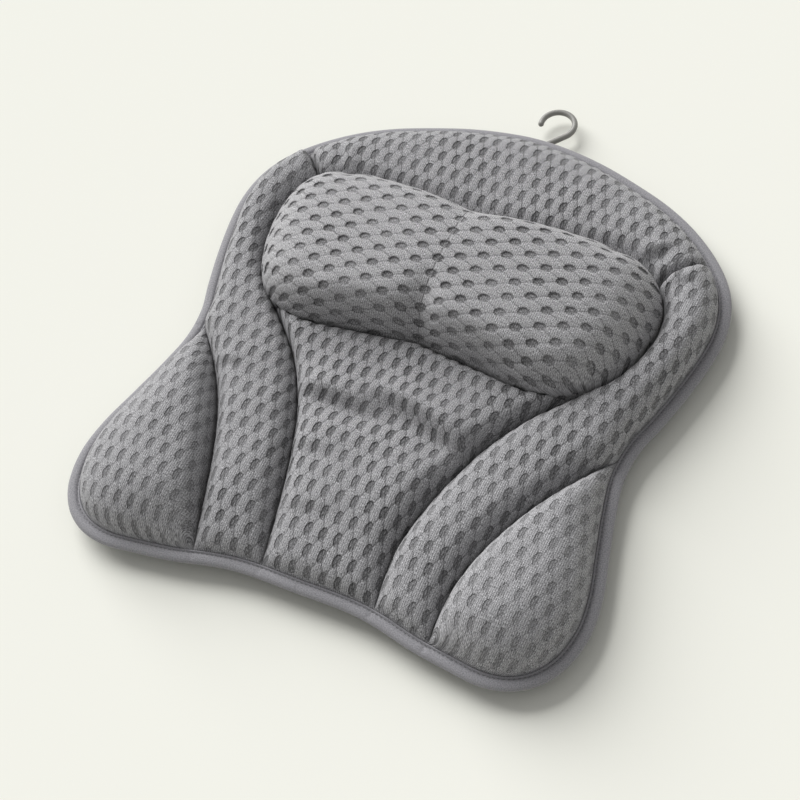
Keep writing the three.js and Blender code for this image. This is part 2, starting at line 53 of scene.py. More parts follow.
MM = 0.001
scene = bpy.context.scene
scene.view_settings.view_transform = "Standard"

floor_colour = (0.89, 0.89, 0.82, 1)
floor_reach = 3.0
room_strength = 0.345
window_strength = 3.83
window_spread = math.radians(50)
window_bearing = (-121, 33)


def mesh_of(bm, name):
    """The mesh that a bmesh has made; the bmesh goes."""
    mesh = bpy.data.meshes.new(name)
    bm.to_mesh(mesh)
    bm.free()
    return mesh


def new_material(name, colour, roughness, levels=None):
    """A material and its main shader, with the levels of any other of the shader's inputs."""
    material = bpy.data.materials.new(name)
    material.use_nodes = True
    shader = material.node_tree.nodes["Principled BSDF"]
    shader.inputs["Base Color"].default_value = colour
    shader.inputs["Roughness"].default_value = roughness
    for entry, level in (levels or {}).items():
        shader.inputs[entry].default_value = level
    return material, shader


def calc(operation, *values):
    """A Math node on sockets and numbers, in the tree that the sockets are in; gives its result."""
    tree = next(value.id_data for value in values if isinstance(value, bpy.types.NodeSocket))
    node = tree.nodes.new("ShaderNodeMath")
    node.operation = operation
    for socket, value in zip(node.inputs, values):
        if isinstance(value, bpy.types.NodeSocket):
            tree.links.new(value, socket)
        else:
            socket.default_value = value
    return node.outputs[0]


floor_bm = bmesh.new()
bmesh.ops.create_grid(floor_bm, x_segments=8, y_segments=8, size=floor_reach)
floor_mesh = mesh_of(floor_bm, "floor")
floor = bpy.data.objects.new("floor", floor_mesh)
scene.collection.objects.link(floor)
floor_material, _ = new_material("pale_floor", floor_colour, 0.9, {"Specular IOR Level": 0})
floor_mesh.materials.append(floor_material)

world = bpy.data.worlds.new("soft_room")
scene.world = world
world.use_nodes = True
room = world.node_tree
room_light = room.nodes["Background"]
room_light.inputs["Color"].default_value = (1, 1, 1, 1)
room_light.inputs["Strength"].default_value = room_strength
room_seen = room.nodes.new("ShaderNodeBackground")
room_seen.inputs["Color"].default_value = floor_colour
room_seen.inputs["Strength"].default_value = 1
ray = room.nodes.new("ShaderNodeLightPath").outputs
looked_at = calc("MAXIMUM", ray["Is Camera Ray"], ray["Is Glossy Ray"])
looked_at = calc("MAXIMUM", looked_at, ray["Is Transmission Ray"])
room_mix = room.nodes.new("ShaderNodeMixShader")
room.links.new(looked_at, room_mix.inputs[0])
room.links.new(room_light.outputs[0], room_mix.inputs[1])
room.links.new(room_seen.outputs[0], room_mix.inputs[2])
room.links.new(room_mix.outputs[0], room.nodes["World Output"].inputs["Surface"])


def towards(azimuth, elevation):
    """The way from the pillow to what stands at these angles, in degrees; azimuth 0 is straight in front."""
    a, e = math.radians(azimuth), math.radians(elevation)
    return Vector((math.sin(a) * math.cos(e), -math.cos(a) * math.cos(e), math.sin(e)))


window_light = bpy.data.lights.new("window", "SUN")
window_light.angle = window_spread
window_light.energy = window_strength
window = bpy.data.objects.new("window", window_light)
window.rotation_euler = towards(*window_bearing).to_track_quat("Z", "Y").to_euler()
scene.collection.objects.link(window)

view_azimuth = 35.31
view_elevation = 55.49
view_roll = math.radians(-12)
view_distance = 1.3047
view_target = Vector((0, -53.3 * MM, 13.6 * MM))
camera = bpy.data.objects.new("camera", bpy.data.cameras.new("camera"))
camera.data.lens = 87.57
camera.data.sensor_width = 36
away = towards(view_azimuth, view_elevation)
level = Vector((math.cos(math.radians(view_azimuth)), math.sin(math.radians(view_azimuth)), 0))
right = math.cos(view_roll) * level + math.sin(view_roll) * away.cross(level)
turn = Matrix((right, away.cross(right), away)).transposed().to_4x4()
camera.matrix_world = Matrix.Translation(view_target + view_distance * away) @ turn
scene.collection.objects.link(camera)
scene.camera = camera


# Front mesh: thick grey air mesh with oval holes, one sheet that is sewn down in seams over six pads: a
# centre panel, a channel and a wing on each side, and a band over the top. The filling swells each chamber.

body_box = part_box("edge_binding")
body_low, body_high = body_box
foot_box = (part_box("bolster_cover_left")[0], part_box("bolster_cover_right")[1])
foot_high = foot_box[1]
tape_width = 9 * MM
sewn_height = 15.4 * MM
pad_floor = 14.6 * MM

# Places are shares of a box's half width, from the middle, and of its length, from its lower end.
outline_shares = [
    (0, 0.0366), (0.216, 0.036), (0.324, 0.029), (0.459, 0.015), (0.595, 0.006), (0.73, 0), (0.822, 0.008),
    (0.892, 0.026), (0.941, 0.05), (0.978, 0.083), (1, 0.138), (0.987, 0.199), (0.946, 0.271), (0.905, 0.343),
    (0.881, 0.403), (0.888, 0.459), (0.922, 0.512), (0.962, 0.584), (0.991, 0.656), (0.998, 0.705),
    (0.984, 0.753), (0.942, 0.801), (0.859, 0.849), (0.734, 0.897), (0.595, 0.9335), (0.432, 0.962),
    (0.27, 0.984), (0.108, 0.997), (0, 1)]
waist_shares = (0.832, 0.429)
shoulder_shares = (0.865, 0.84)
foot_and_seam_shares = {
    "left": dict(
        inner_foot=(0.153, 0.056), outer_foot=(0.406, 0.038),
        inner=[(0.087, 0.2), (0.193, 0.4), (0.346, 0.6), (0.593, 0.8)],
        outer=[(0.122, 0.2), (0.252, 0.4), (0.423, 0.6), (0.666, 0.8)]),
    "right": dict(
        inner_foot=(0.287, 0.056), outer_foot=(0.512, 0.038),
        inner=[(-0.06, 0.2), (0.026, 0.4), (0.205, 0.6), (0.499, 0.8)],
        outer=[(0.009, 0.2), (0.119, 0.4), (0.347, 0.6), (0.666, 0.8)])}
foot_shares = [
    (0, 0.072), (0.315, 0.03), (0.615, 0), (0.825, 0.1), (0.958, 0.344), (1, 0.616), (0.965, 0.808),
    (0.853, 0.945), (0.671, 1), (0.315, 0.98), (0, 0.95)]
seat_corner_shares = (0.8, 0.083)
seat_shoulder_shares = (0.89, 0.91)


def at_shares(box, shares):
    """Places at shares of a box's half width and of its length."""
    low, high = box
    across, up_share = np.asarray(shares, float).T
    return np.stack([across * high.x, low.y + up_share * (high.y - low.y)], -1)


def curve_through(points, closed=False, steps=24):
    """A smooth line through the points, which rounds each of them by the distance to its neighbours."""
    points = np.asarray(points, float)
    if closed:
        knots = np.vstack([points[-1], points, points[:2]])
    else:
        knots = np.vstack([2 * points[0] - points[1], points, 2 * points[-1] - points[-2]])
    line = []
    for p0, p1, p2, p3 in zip(knots, knots[1:], knots[2:], knots[3:]):
        t0 = 0.0
        t1 = t0 + math.sqrt(np.linalg.norm(p1 - p0))
        t2 = t1 + math.sqrt(np.linalg.norm(p2 - p1))
        t3 = t2 + math.sqrt(np.linalg.norm(p3 - p2))
        t = np.linspace(t1, t2, steps, endpoint=False)[:, None]
        a1 = (t1 - t) / (t1 - t0) * p0 + (t - t0) / (t1 - t0) * p1
        a2 = (t2 - t) / (t2 - t1) * p1 + (t - t1) / (t2 - t1) * p2
        a3 = (t3 - t) / (t3 - t2) * p2 + (t - t2) / (t3 - t2) * p3
        b1 = (t2 - t) / (t2 - t0) * a1 + (t - t0) / (t2 - t0) * a2
        b2 = (t3 - t) / (t3 - t1) * a2 + (t - t1) / (t3 - t1) * a3
        line.append((t2 - t) / (t2 - t1) * b1 + (t - t1) / (t2 - t1) * b2)
    if not closed:
        line.append(points[-1:])
    return np.vstack(line)


def back_to_start(ring):
    """A ring's points with the first one again at the end."""
    return np.vstack([ring, ring[:1]])


def line_length(line):
    return np.linalg.norm(np.diff(line, axis=0), axis=1).sum()


def along(line, shares):
    """Points at shares of the line's length."""
    run = np.concatenate([[0], np.cumsum(np.linalg.norm(np.diff(line, axis=0), axis=1))])
    at = np.asarray(shares) * run[-1]
    return np.stack([np.interp(at, run, line[:, axis]) for axis in range(line.shape[1])], -1)


def nearest(line, place):
    """Which of a line's points lies nearest to a place."""
    return int(np.argmin(np.linalg.norm(line - place, axis=1)))


def stretch(line, start, end):
    """The part of a line between the points that lie nearest to two places."""
    return line[nearest(line, start):nearest(line, end) + 1]


def mirrored(line):
    return line * (-1, 1)


def inward_of(ring):
    """The way straight inwards at each point of a ring, which runs anticlockwise from above."""
    run = np.roll(ring, -1, axis=0) - np.roll(ring, 1, axis=0)
    run /= np.linalg.norm(run, axis=1)[:, None]
    return np.stack([-run[:, 1], run[:, 0]], -1)


def moved_in(ring, distance):
    """The ring drawn again at a distance inside it."""
    return ring + distance * inward_of(ring)


edge_points = 1600
right_outline = at_shares(body_box, outline_shares)
whole_outline = np.vstack([right_outline, mirrored(right_outline[1:-1])[::-1]])
edge_line = along(
    back_to_start(curve_through(whole_outline, closed=True)), np.arange(edge_points) / edge_points)
edge_inside = moved_in(edge_line, tape_width)
foot_line = curve_through(at_shares(foot_box, foot_shares))


def edge_corner(shares):
    """Where a seam meets the tape, beside a place that is given in shares of the body's box."""
    return edge_inside[nearest(edge_inside, at_shares(body_box, shares))]


def foot_corner(shares):
    """Where a seam meets the bolster's foot, beside a place in shares of the foot's box."""
    return foot_line[nearest(foot_line, at_shares(foot_box, shares))]


def seam_between(low, high, shares):
    """A seam from one corner up to another, through places at shares of the way across and up."""
    places = low + np.asarray(shares) * (high - low)
    return curve_through(np.vstack([low, places, high]))


waist = edge_corner(waist_shares)
shoulder = edge_corner(shoulder_shares)
seat_corner = foot_corner(seat_corner_shares)
seat_shoulder = foot_corner(seat_shoulder_shares)
shoulder_seam = np.vstack([seat_shoulder, shoulder])
seams = {}
for side, shares in foot_and_seam_shares.items():
    inner_foot, outer_foot = edge_corner(shares["inner_foot"]), edge_corner(shares["outer_foot"])
    seams[side] = dict(
        inner_foot=inner_foot, outer_foot=outer_foot,
        inner=seam_between(inner_foot, seat_corner, shares["inner"]),
        outer=seam_between(outer_foot, waist, shares["outer"]))
inner_left = mirrored(seams["left"]["inner"])
inner_right = seams["right"]["inner"]
bottom_edge = np.vstack([edge_inside[-edge_points // 4:], edge_inside[:edge_points // 4]])
seat_front = stretch(foot_line, foot_line[0], seat_corner)
seat_side = stretch(foot_line, seat_corner, seat_shoulder)
seat_back = stretch(foot_line, seat_shoulder, foot_line[-1])
side_edge = stretch(edge_inside, waist, shoulder)
top_edge = stretch(edge_inside, shoulder, edge_corner(outline_shares[-1]))


def point_side(place):
    """A side of a chamber that has shrunk to a point."""
    return np.stack([place, place])


# The chambers lie between their seams. The crown is the height of the cloth over them, and a flank is how far
# the cloth rises from a seam: from the left and right ones, and from those at the low and high ends.
chamber_cell = 2.9 * MM
wing_edge_flank = {"left": 56 * MM, "right": 38 * MM}
chambers = {
    "centre": dict(
        left=inner_left, right=inner_right, low=stretch(bottom_edge, inner_left[0], inner_right[0]),
        high=np.vstack([mirrored(seat_front)[::-1], seat_front[1:]]),
        crown=24 * MM, side_flanks=(18 * MM, 18 * MM), end_flanks=(85 * MM, 9 * MM), fill=0.6, relief=1),
    "top_band": dict(
        left=np.vstack([seat_back, mirrored(seat_back)[::-1][1:]]),
        right=np.vstack([top_edge, mirrored(top_edge)[::-1][1:]]),
        low=shoulder_seam, high=mirrored(shoulder_seam),
        crown=21 * MM, side_flanks=(18 * MM, 24 * MM), end_flanks=(5 * MM, 5 * MM), fill=0.75, relief=1)}
for side, seam in seams.items():
    chambers[f"{side}_channel"] = dict(
        left=np.vstack([seam["inner"], seat_side[1:]]), right=np.vstack([seam["outer"], side_edge[1:]]),
        low=stretch(edge_inside, seam["inner_foot"], seam["outer_foot"]), high=shoulder_seam,
        crown=24 * MM, side_flanks=(16 * MM, 17 * MM), end_flanks=(70 * MM, 5 * MM), fill=0.8, relief=0.9)
    chambers[f"{side}_wing"] = dict(
        left=seam["outer"], right=stretch(edge_inside, seam["outer_foot"], waist),
        low=point_side(seam["outer_foot"]), high=point_side(waist),
        crown=31 * MM, side_flanks=(17 * MM, wing_edge_flank[side]), end_flanks=(80 * MM, 1 * MM), fill=0.8,
        relief=0.65)
for name in ("left_channel", "left_wing"):
    drawn = dict(chambers[name])
    chambers[name].update(
        left=mirrored(drawn["right"]), right=mirrored(drawn["left"]), side_flanks=drawn["side_flanks"][::-1],
        low=mirrored(drawn["low"])[::-1], high=mirrored(drawn["high"])[::-1])


def between_seams(shape, s, t):
    """Places inside a four-sided line of seams, at shares across and along it."""
    left, right = along(shape["left"], t), along(shape["right"], t)
    low, high = along(shape["low"], s), along(shape["high"], s)
    corners = [shape["left"][0], shape["right"][0], shape["left"][-1], shape["right"][-1]]
    s, t = s[:, None], t[:, None]
    flat = ((1 - s) * (1 - t) * corners[0] + s * (1 - t) * corners[1]
            + (1 - s) * t * corners[2] + s * t * corners[3])
    return (1 - s) * left + s * right + (1 - t) * low + t * high - flat


def width_at(shape, t):
    """How long the line across a chamber is, at a share along it."""
    s = np.linspace(0, 1, 9)
    return line_length(between_seams(shape, s, np.full(len(s), t)))


def crowded(shares, plain):
    """Shares from 0 to 1 that stand closer together at both ends; plain is how evenly they still stand."""
    return plain * shares + (1 - plain) * (1 - np.cos(math.pi * shares)) / 2


def grid_sheet(name, columns, rows):
    """A flat sheet of cells whose corners are at 0 and 1, and which knows its columns and rows."""
    bm = bmesh.new()
    bmesh.ops.create_grid(bm, x_segments=columns, y_segments=rows, size=0.5)
    bmesh.ops.translate(bm, verts=bm.verts, vec=(0.5, 0.5, 0))
    mesh = mesh_of(bm, name)
    mesh["columns"], mesh["rows"] = columns, rows
    return mesh


def places_of(mesh):
    places = np.empty(len(mesh.vertices) * 3, np.float32)
    mesh.vertices.foreach_get("co", places)
    return places.reshape(-1, 3).astype(float)


def set_places(mesh, places):
    mesh.vertices.foreach_set("co", np.asarray(places, np.float32).ravel())
    mesh.update()


def flank(distance, width, power=0.5):
    """How far a stuffed sheet has risen at a distance from its seam, from 0 to 1 at the flank's width."""
    return (1 - (1 - (distance / width).clip(0, 1)) ** 2) ** power


def chamber_flank(distance, width):
    """A steep round flank beside the seam and a slow rise behind it; a broad one slopes all the way."""
    broad_from = 30 * MM
    if width > broad_from:
        steep_part, steep_share, slow_part = 12 * MM, 0.4, width
    else:
        steep_part, steep_share, slow_part = width, 0.82, 2 * width
    return steep_share * flank(distance, steep_part) + (1 - steep_share) * flank(distance, slow_part, 1)


def sway(x, length, y, drift_length, drift=1):
    """A wave along x that drifts with y, so that it never looks regular."""
    return np.sin(x / length + drift * np.sin(y / drift_length))


# Creases where the filling has settled, in millimetres: each runs from one place to another, bent by a sag in
# its middle, and the cloth stands up on its upper side and dips on its lower side.
folds = [
    dict(low=(-56, -80), high=(-2, -83), sag=1, step=6, reach=14),
    dict(low=(-8, -67), high=(64, -88), sag=2, step=9.5, reach=17),
    dict(low=(-56, -126), high=(-14, -120), sag=2, step=2, reach=13),
    dict(low=(-30, -166), high=(8, -158), sag=2, step=1.6, reach=12),
    dict(low=(-127, -82), high=(-104, -78), sag=1, step=2.2, reach=7),
    dict(low=(113, 98), high=(128, 116), sag=1, step=3.4, reach=8),
    dict(low=(-114, 106), high=(-124, 124), sag=1, step=-2.6, reach=7),
    dict(low=(-150, 96), high=(-160, 112), sag=1, step=-1.6, reach=8),
    dict(low=(136, 84), high=(156, 92), sag=1, step=1.8, reach=8)]
unevenness = 0.5 * MM


def settled(plan):
    """How far the cloth's creases and the unevenness of its filling lift it."""
    x, y = plan.T
    lift = unevenness * sway(x, 11 * MM, y, 31 * MM, 1.7) * sway(y, 14 * MM, x, 19 * MM)
    for fold in folds:
        low, high = np.array(fold["low"]) * MM, np.array(fold["high"]) * MM
        run = high - low
        reach = fold["reach"] * MM
        share = ((plan - low) @ run) / (run @ run)
        aside = ((plan - low) @ np.array((-run[1], run[0]))) / np.linalg.norm(run)
        aside -= fold["sag"] * MM * 4 * share * (1 - share)
        fade = np.exp(-(2 * np.abs(share - 0.5)) ** 4) * np.exp(-(aside / reach) ** 2)
        lift += fold["step"] * MM * np.tanh(aside / (0.3 * reach)) * fade
    return lift


def sewn_sheet(name, shape):
    """One chamber's cloth between its seams, crowned and creased, before its filling swells it."""
    columns = round(max(width_at(shape, t) for t in (0.1, 0.5, 0.95)) / chamber_cell)
    length = (line_length(shape["left"]) + line_length(shape["right"])) / 2
    mesh = grid_sheet(name, columns, round(length / chamber_cell))
    s, t = places_of(mesh)[:, :2].T
    s, t = crowded(s, 0.45), crowded(t, 0.75)
    plan = between_seams(shape, s, t)
    width = np.linalg.norm(along(shape["left"], t) - along(shape["right"], t), axis=1)
    side_low, side_high = shape["side_flanks"]
    end_low, end_high = shape["end_flanks"]
    rise = chamber_flank(s * width, side_low) * chamber_flank((1 - s) * width, side_high)
    rise *= chamber_flank(t * length, end_low) * chamber_flank((1 - t) * length, end_high)
    set_places(mesh, np.column_stack([plan, sewn_height + shape["crown"] * rise + settled(plan) * rise]))
    return mesh


def rim_of(sheet):
    """Which of a sheet's points lie on its edge."""
    columns, rows = sheet["columns"], sheet["rows"]
    index = np.arange(len(sheet.vertices))
    i, j = index % (columns + 1), index // (columns + 1)
    return (i == 0) | (i == columns) | (j == 0) | (j == rows)


def distance_to(line, places):
    """Distance of each place from the nearest of a line's points."""
    gap = np.full(len(places), np.inf)
    for first in range(0, len(line), 200):
        part = line[first:first + 200]
        gap = np.minimum(gap, np.linalg.norm(places[:, None] - part[None], axis=2).min(1))
    return gap


def stuffed(sheets, pressure, slack, cap, evened, frames=20):
    """Swells sheets by the pressure of their filling, held at the rims. Caps how far a point moves, keeps the
    cloth smooth close to its seams, and evens its short buckles that many times."""
    bm = bmesh.new()
    for sheet in sheets:
        bm.from_mesh(sheet)
    joined = mesh_of(bm, "sewn_sheets")
    cloth = bpy.data.objects.new("sewn_sheets", joined)
    scene.collection.objects.link(cloth)
    held = np.concatenate([rim_of(sheet) for sheet in sheets])
    group = cloth.vertex_groups.new(name="seams")
    group.add([int(i) for i in np.flatnonzero(held)], 1, "REPLACE")
    modifier = cloth.modifiers.new("filling", "CLOTH")
    settings = modifier.settings
    settings.quality = 6
    settings.mass = 0.15
    settings.tension_stiffness = 15
    settings.compression_stiffness = 12
    settings.shear_stiffness = 6
    settings.bending_stiffness = 0.6
    settings.air_damping = 2
    settings.vertex_group_mass = "seams"
    settings.use_pressure = True
    settings.uniform_pressure_force = pressure
    settings.shrink_min = -slack
    settings.effector_weights.gravity = 0
    modifier.collision_settings.use_collision = False
    modifier.collision_settings.use_self_collision = False
    modifier.point_cache.frame_end = frames
    start = places_of(joined)
    for moment in range(1, frames + 1):
        scene.frame_set(moment)
    swelled = cloth.evaluated_get(bpy.context.evaluated_depsgraph_get())
    move = places_of(swelled.data) - start
    scene.frame_set(1)
    bpy.data.objects.remove(cloth)

    move *= np.minimum(1, cap / np.maximum(np.linalg.norm(move, axis=1)[:, None], 1e-9))
    stiff_beside_seam = 16 * MM
    first = 0
    for sheet in sheets:
        last = first + len(sheet.vertices)
        places = places_of(sheet)
        from_rim = distance_to(places[rim_of(sheet)], places)
        part = move[first:last] * (from_rim / stiff_beside_seam).clip(0, 1)[:, None]
        part = part.reshape(sheet["rows"] + 1, sheet["columns"] + 1, 3)
        for _ in range(evened):
            beside = part[:-2, 1:-1] + part[2:, 1:-1] + part[1:-1, :-2] + part[1:-1, 2:]
            part[1:-1, 1:-1] = part[1:-1, 1:-1] / 2 + beside / 8
        set_places(sheet, places + part.reshape(-1, 3))
        first = last


sheets = {name: sewn_sheet(name, shape) for name, shape in chambers.items()}
stuffed(list(sheets.values()), pressure=2.5, slack=0.02, cap=2.5 * MM, evened=1)


def cloth_places(sheet):
    """Where each point of the sheet lay on the flat cloth before it was sewn, by its arc length."""
    grid = places_of(sheet).reshape(sheet["rows"] + 1, sheet["columns"] + 1, 3)
    cloth = grid[..., :2].copy()
    for axis in (1, 0):
        steps = np.diff(grid, axis=axis)
        extra = np.linalg.norm(steps, axis=2) - np.linalg.norm(steps[..., :2], axis=2)
        way = steps[..., :2] / np.maximum(np.linalg.norm(steps[..., :2], axis=2), 1e-9)[..., None]
        gain = np.cumsum(extra[..., None] * way, axis=axis)
        gain = np.concatenate([np.zeros_like(np.take(gain, [0], axis=axis)), gain], axis=axis)
        cloth += gain - np.take(gain, [gain.shape[axis] // 2], axis=axis)
    u, v = cloth.reshape(-1, 2).T
    wander_u = 0.5 * MM * sway(v, 21 * MM, u, 33 * MM)
    wander_v = 0.7 * MM * sway(u, 27 * MM, v, 39 * MM, 1.3)
    return np.column_stack([u + wander_u, v + wander_v])


def knit_relief(cloth, weave):
    """Height of the mesh cloth's surface over its mean: domed cells, creased between, with sunk oval holes.

    Holes lie where both shares of the half pitch are whole numbers with an even sum; a crease links each hole
    to the four round it.
    """
    def from_even(x):
        return np.abs(x - 2 * np.round(x / 2))

    lip, wall = 1.13, 0.36
    a, b = (cloth / weave["half_pitch"]).T
    a1, b1 = from_even(a), from_even(b)
    crease = np.minimum(from_even(a - b), from_even(a + b)).clip(0, 1)
    reach = np.array(weave["half_pitch"]) / np.array(weave["hole"])
    near = np.hypot(a1 * reach[0], b1 * reach[1])
    far = np.hypot((1 - a1) * reach[0], (1 - b1) * reach[1])
    sink = ((lip - np.minimum(near, far)) / wall).clip(0, 1)
    sink = sink * sink * (3 - 2 * sink)
    return weave["dome"] * (1 - (1 - crease) ** 2.5) * (1 - sink) - weave["depth"] * sink


def applied(rough, name):
    """The mesh of an object with its modifiers applied; the object goes."""
    scene.collection.objects.link(rough)
    bpy.context.view_layer.update()
    mesh = bpy.data.meshes.new_from_object(rough.evaluated_get(bpy.context.evaluated_depsgraph_get()))
    mesh.name = name
    bpy.data.objects.remove(rough)
    return mesh


def open_edges(mesh):
    """The edges of an open sheet that only one face has."""
    faces = np.zeros(len(mesh.edges), int)
    used = np.empty(len(mesh.loops), np.int32)
    mesh.loops.foreach_get("edge_index", used)
    np.add.at(faces, used, 1)
    return [mesh.edges[int(i)] for i in np.flatnonzero(faces == 1)]


def vectors_of(items, entry):
    """The vectors that a mesh's points hold under an entry."""
    values = np.empty(len(items) * 3, np.float32)
    items.foreach_get(entry, values)
    return values.reshape(-1, 3)


def set_vectors(mesh, name, values):
    """Gives each point of a mesh a vector that a material can read by its name."""
    attribute = mesh.attributes.new(name, "FLOAT_VECTOR", "POINT")
    attribute.data.foreach_set("vector", values.astype(np.float32).ravel())


def finished_cloth(name, sheet, flat, from_seam, weave, strength, fade):
    """The sheet refined and given the cloth's relief, weaker close to the seams. It keeps the cloth's own
    coordinates for the material, and how far the relief stands out."""
    u, v = flat.T
    taut = 0.8 + 0.2 * sway(u, 13 * MM, v, 29 * MM, 2) * sway(v, 17 * MM, u, 23 * MM)
    taut *= strength * (0.3 + 0.7 * (from_seam / fade).clip(0, 1))
    set_vectors(sheet, "cloth", np.column_stack([flat, taut]))
    rough = bpy.data.objects.new(f"{name}_rough", sheet)
    finer = rough.modifiers.new("finer", "SUBSURF")
    finer.levels = finer.render_levels = 2
    finer.boundary_smooth = "PRESERVE_CORNERS"
    mesh = applied(rough, name)
    cloth = vectors_of(mesh.attributes["cloth"].data, "vector").astype(float)
    normals = vectors_of(mesh.vertex_normals, "vector")
    height = knit_relief(cloth[:, :2], weave) * cloth[:, 2]
    for edge in open_edges(mesh):
        height[list(edge.vertices)] = 0
    set_places(mesh, places_of(mesh) + normals * height[:, None])
    return mesh


def distance_over(line, sheet, foot):
    """Distance of each point of a sheet from its seams, which lie at the foot's height."""
    places = places_of(sheet)
    return np.hypot(distance_to(line, places[:, :2]), places[:, 2] - foot)


def closed_below(mesh, height):
    """Closes a cushion's cloth with a flat underside."""
    bm = bmesh.new()
    bm.from_mesh(mesh)
    bmesh.ops.remove_doubles(bm, verts=bm.verts, dist=0.05 * MM)
    rim = [edge for edge in bm.edges if edge.is_boundary]
    wall = bmesh.ops.extrude_edge_only(bm, edges=rim)["geom"]
    for v in wall:
        if isinstance(v, bmesh.types.BMVert):
            v.co.z = height
    low_rim = [edge for edge in wall if isinstance(edge, bmesh.types.BMEdge) and edge.is_boundary]
    bmesh.ops.edgeloop_fill(bm, edges=low_rim)
    bmesh.ops.recalc_face_normals(bm, faces=bm.faces)
    bm.to_mesh(mesh)
    bm.free()


def piece_from(mesh, body, material):
    """A finished piece of the pillow, smooth, on its body and with its material."""
    mesh.materials.clear()
    mesh.materials.append(material)
    mesh.polygons.foreach_set("use_smooth", [True] * len(mesh.polygons))
    piece = bpy.data.objects.new(mesh.name, mesh)
    scene.collection.objects.link(piece)
    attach(piece, body)
    return piece


def plus(x, y):
    return calc("ADD", x, y)


def less(x, y):
    return calc("SUBTRACT", x, y)


def times(x, y):
    return calc("MULTIPLY", x, y)


def over(x, y):
    return calc("DIVIDE", x, y)


def to_and_fro(x):
    """Distance from the nearest even number, from 0 to 1."""
    return calc("PINGPONG", x, 1.0)


def ribs(way, pitch):
    """Even ribs across a way, from -1 to 1."""
    return calc("SINE", times(way, 2 * math.pi / pitch))


def on_cloth(shader, name):
    """The coordinates that a piece's points hold under a name."""
    source = shader.id_data.nodes.new("ShaderNodeAttribute")
    source.attribute_name = name
    return source.outputs["Vector"]


def parts_of(vector):
    """A vector's three parts."""
    split = vector.id_data.nodes.new("ShaderNodeSeparateXYZ")
    vector.id_data.links.new(vector, split.inputs[0])
    return split.outputs


def grain(place, scale, detail=2):
    """Fine noise; gives its value and, as Color, three values that differ."""
    noise = place.id_data.nodes.new("ShaderNodeTexNoise")
    noise.inputs["Scale"].default_value = scale
    noise.inputs["Detail"].default_value = detail
    place.id_data.links.new(place, noise.inputs["Vector"])
    return noise.outputs


def shades(value, stops, blend="EASE"):
    """A Color Ramp from pairs of place and shade, which is a grey's level or a colour."""
    node = value.id_data.nodes.new("ShaderNodeValToRGB")
    node.color_ramp.interpolation = blend
    while len(node.color_ramp.elements) < len(stops):
        node.color_ramp.elements.new(0.5)
    for element, (place, shade) in zip(node.color_ramp.elements, stops):
        element.position = place
        element.color = (*np.broadcast_to(shade, 3), 1)
    value.id_data.links.new(value, node.inputs[0])
    return node.outputs[0]


def raised(shader, height, depth):
    """Lets a surface stand out by a depth for each unit of height."""
    bump = shader.id_data.nodes.new("ShaderNodeBump")
    bump.inputs["Distance"].default_value = depth
    shader.id_data.links.new(height, bump.inputs["Height"])
    shader.id_data.links.new(bump.outputs[0], shader.inputs["Normal"])


rib_pitch = 1.45 * MM
stray_of_holes = 1.6 * MM


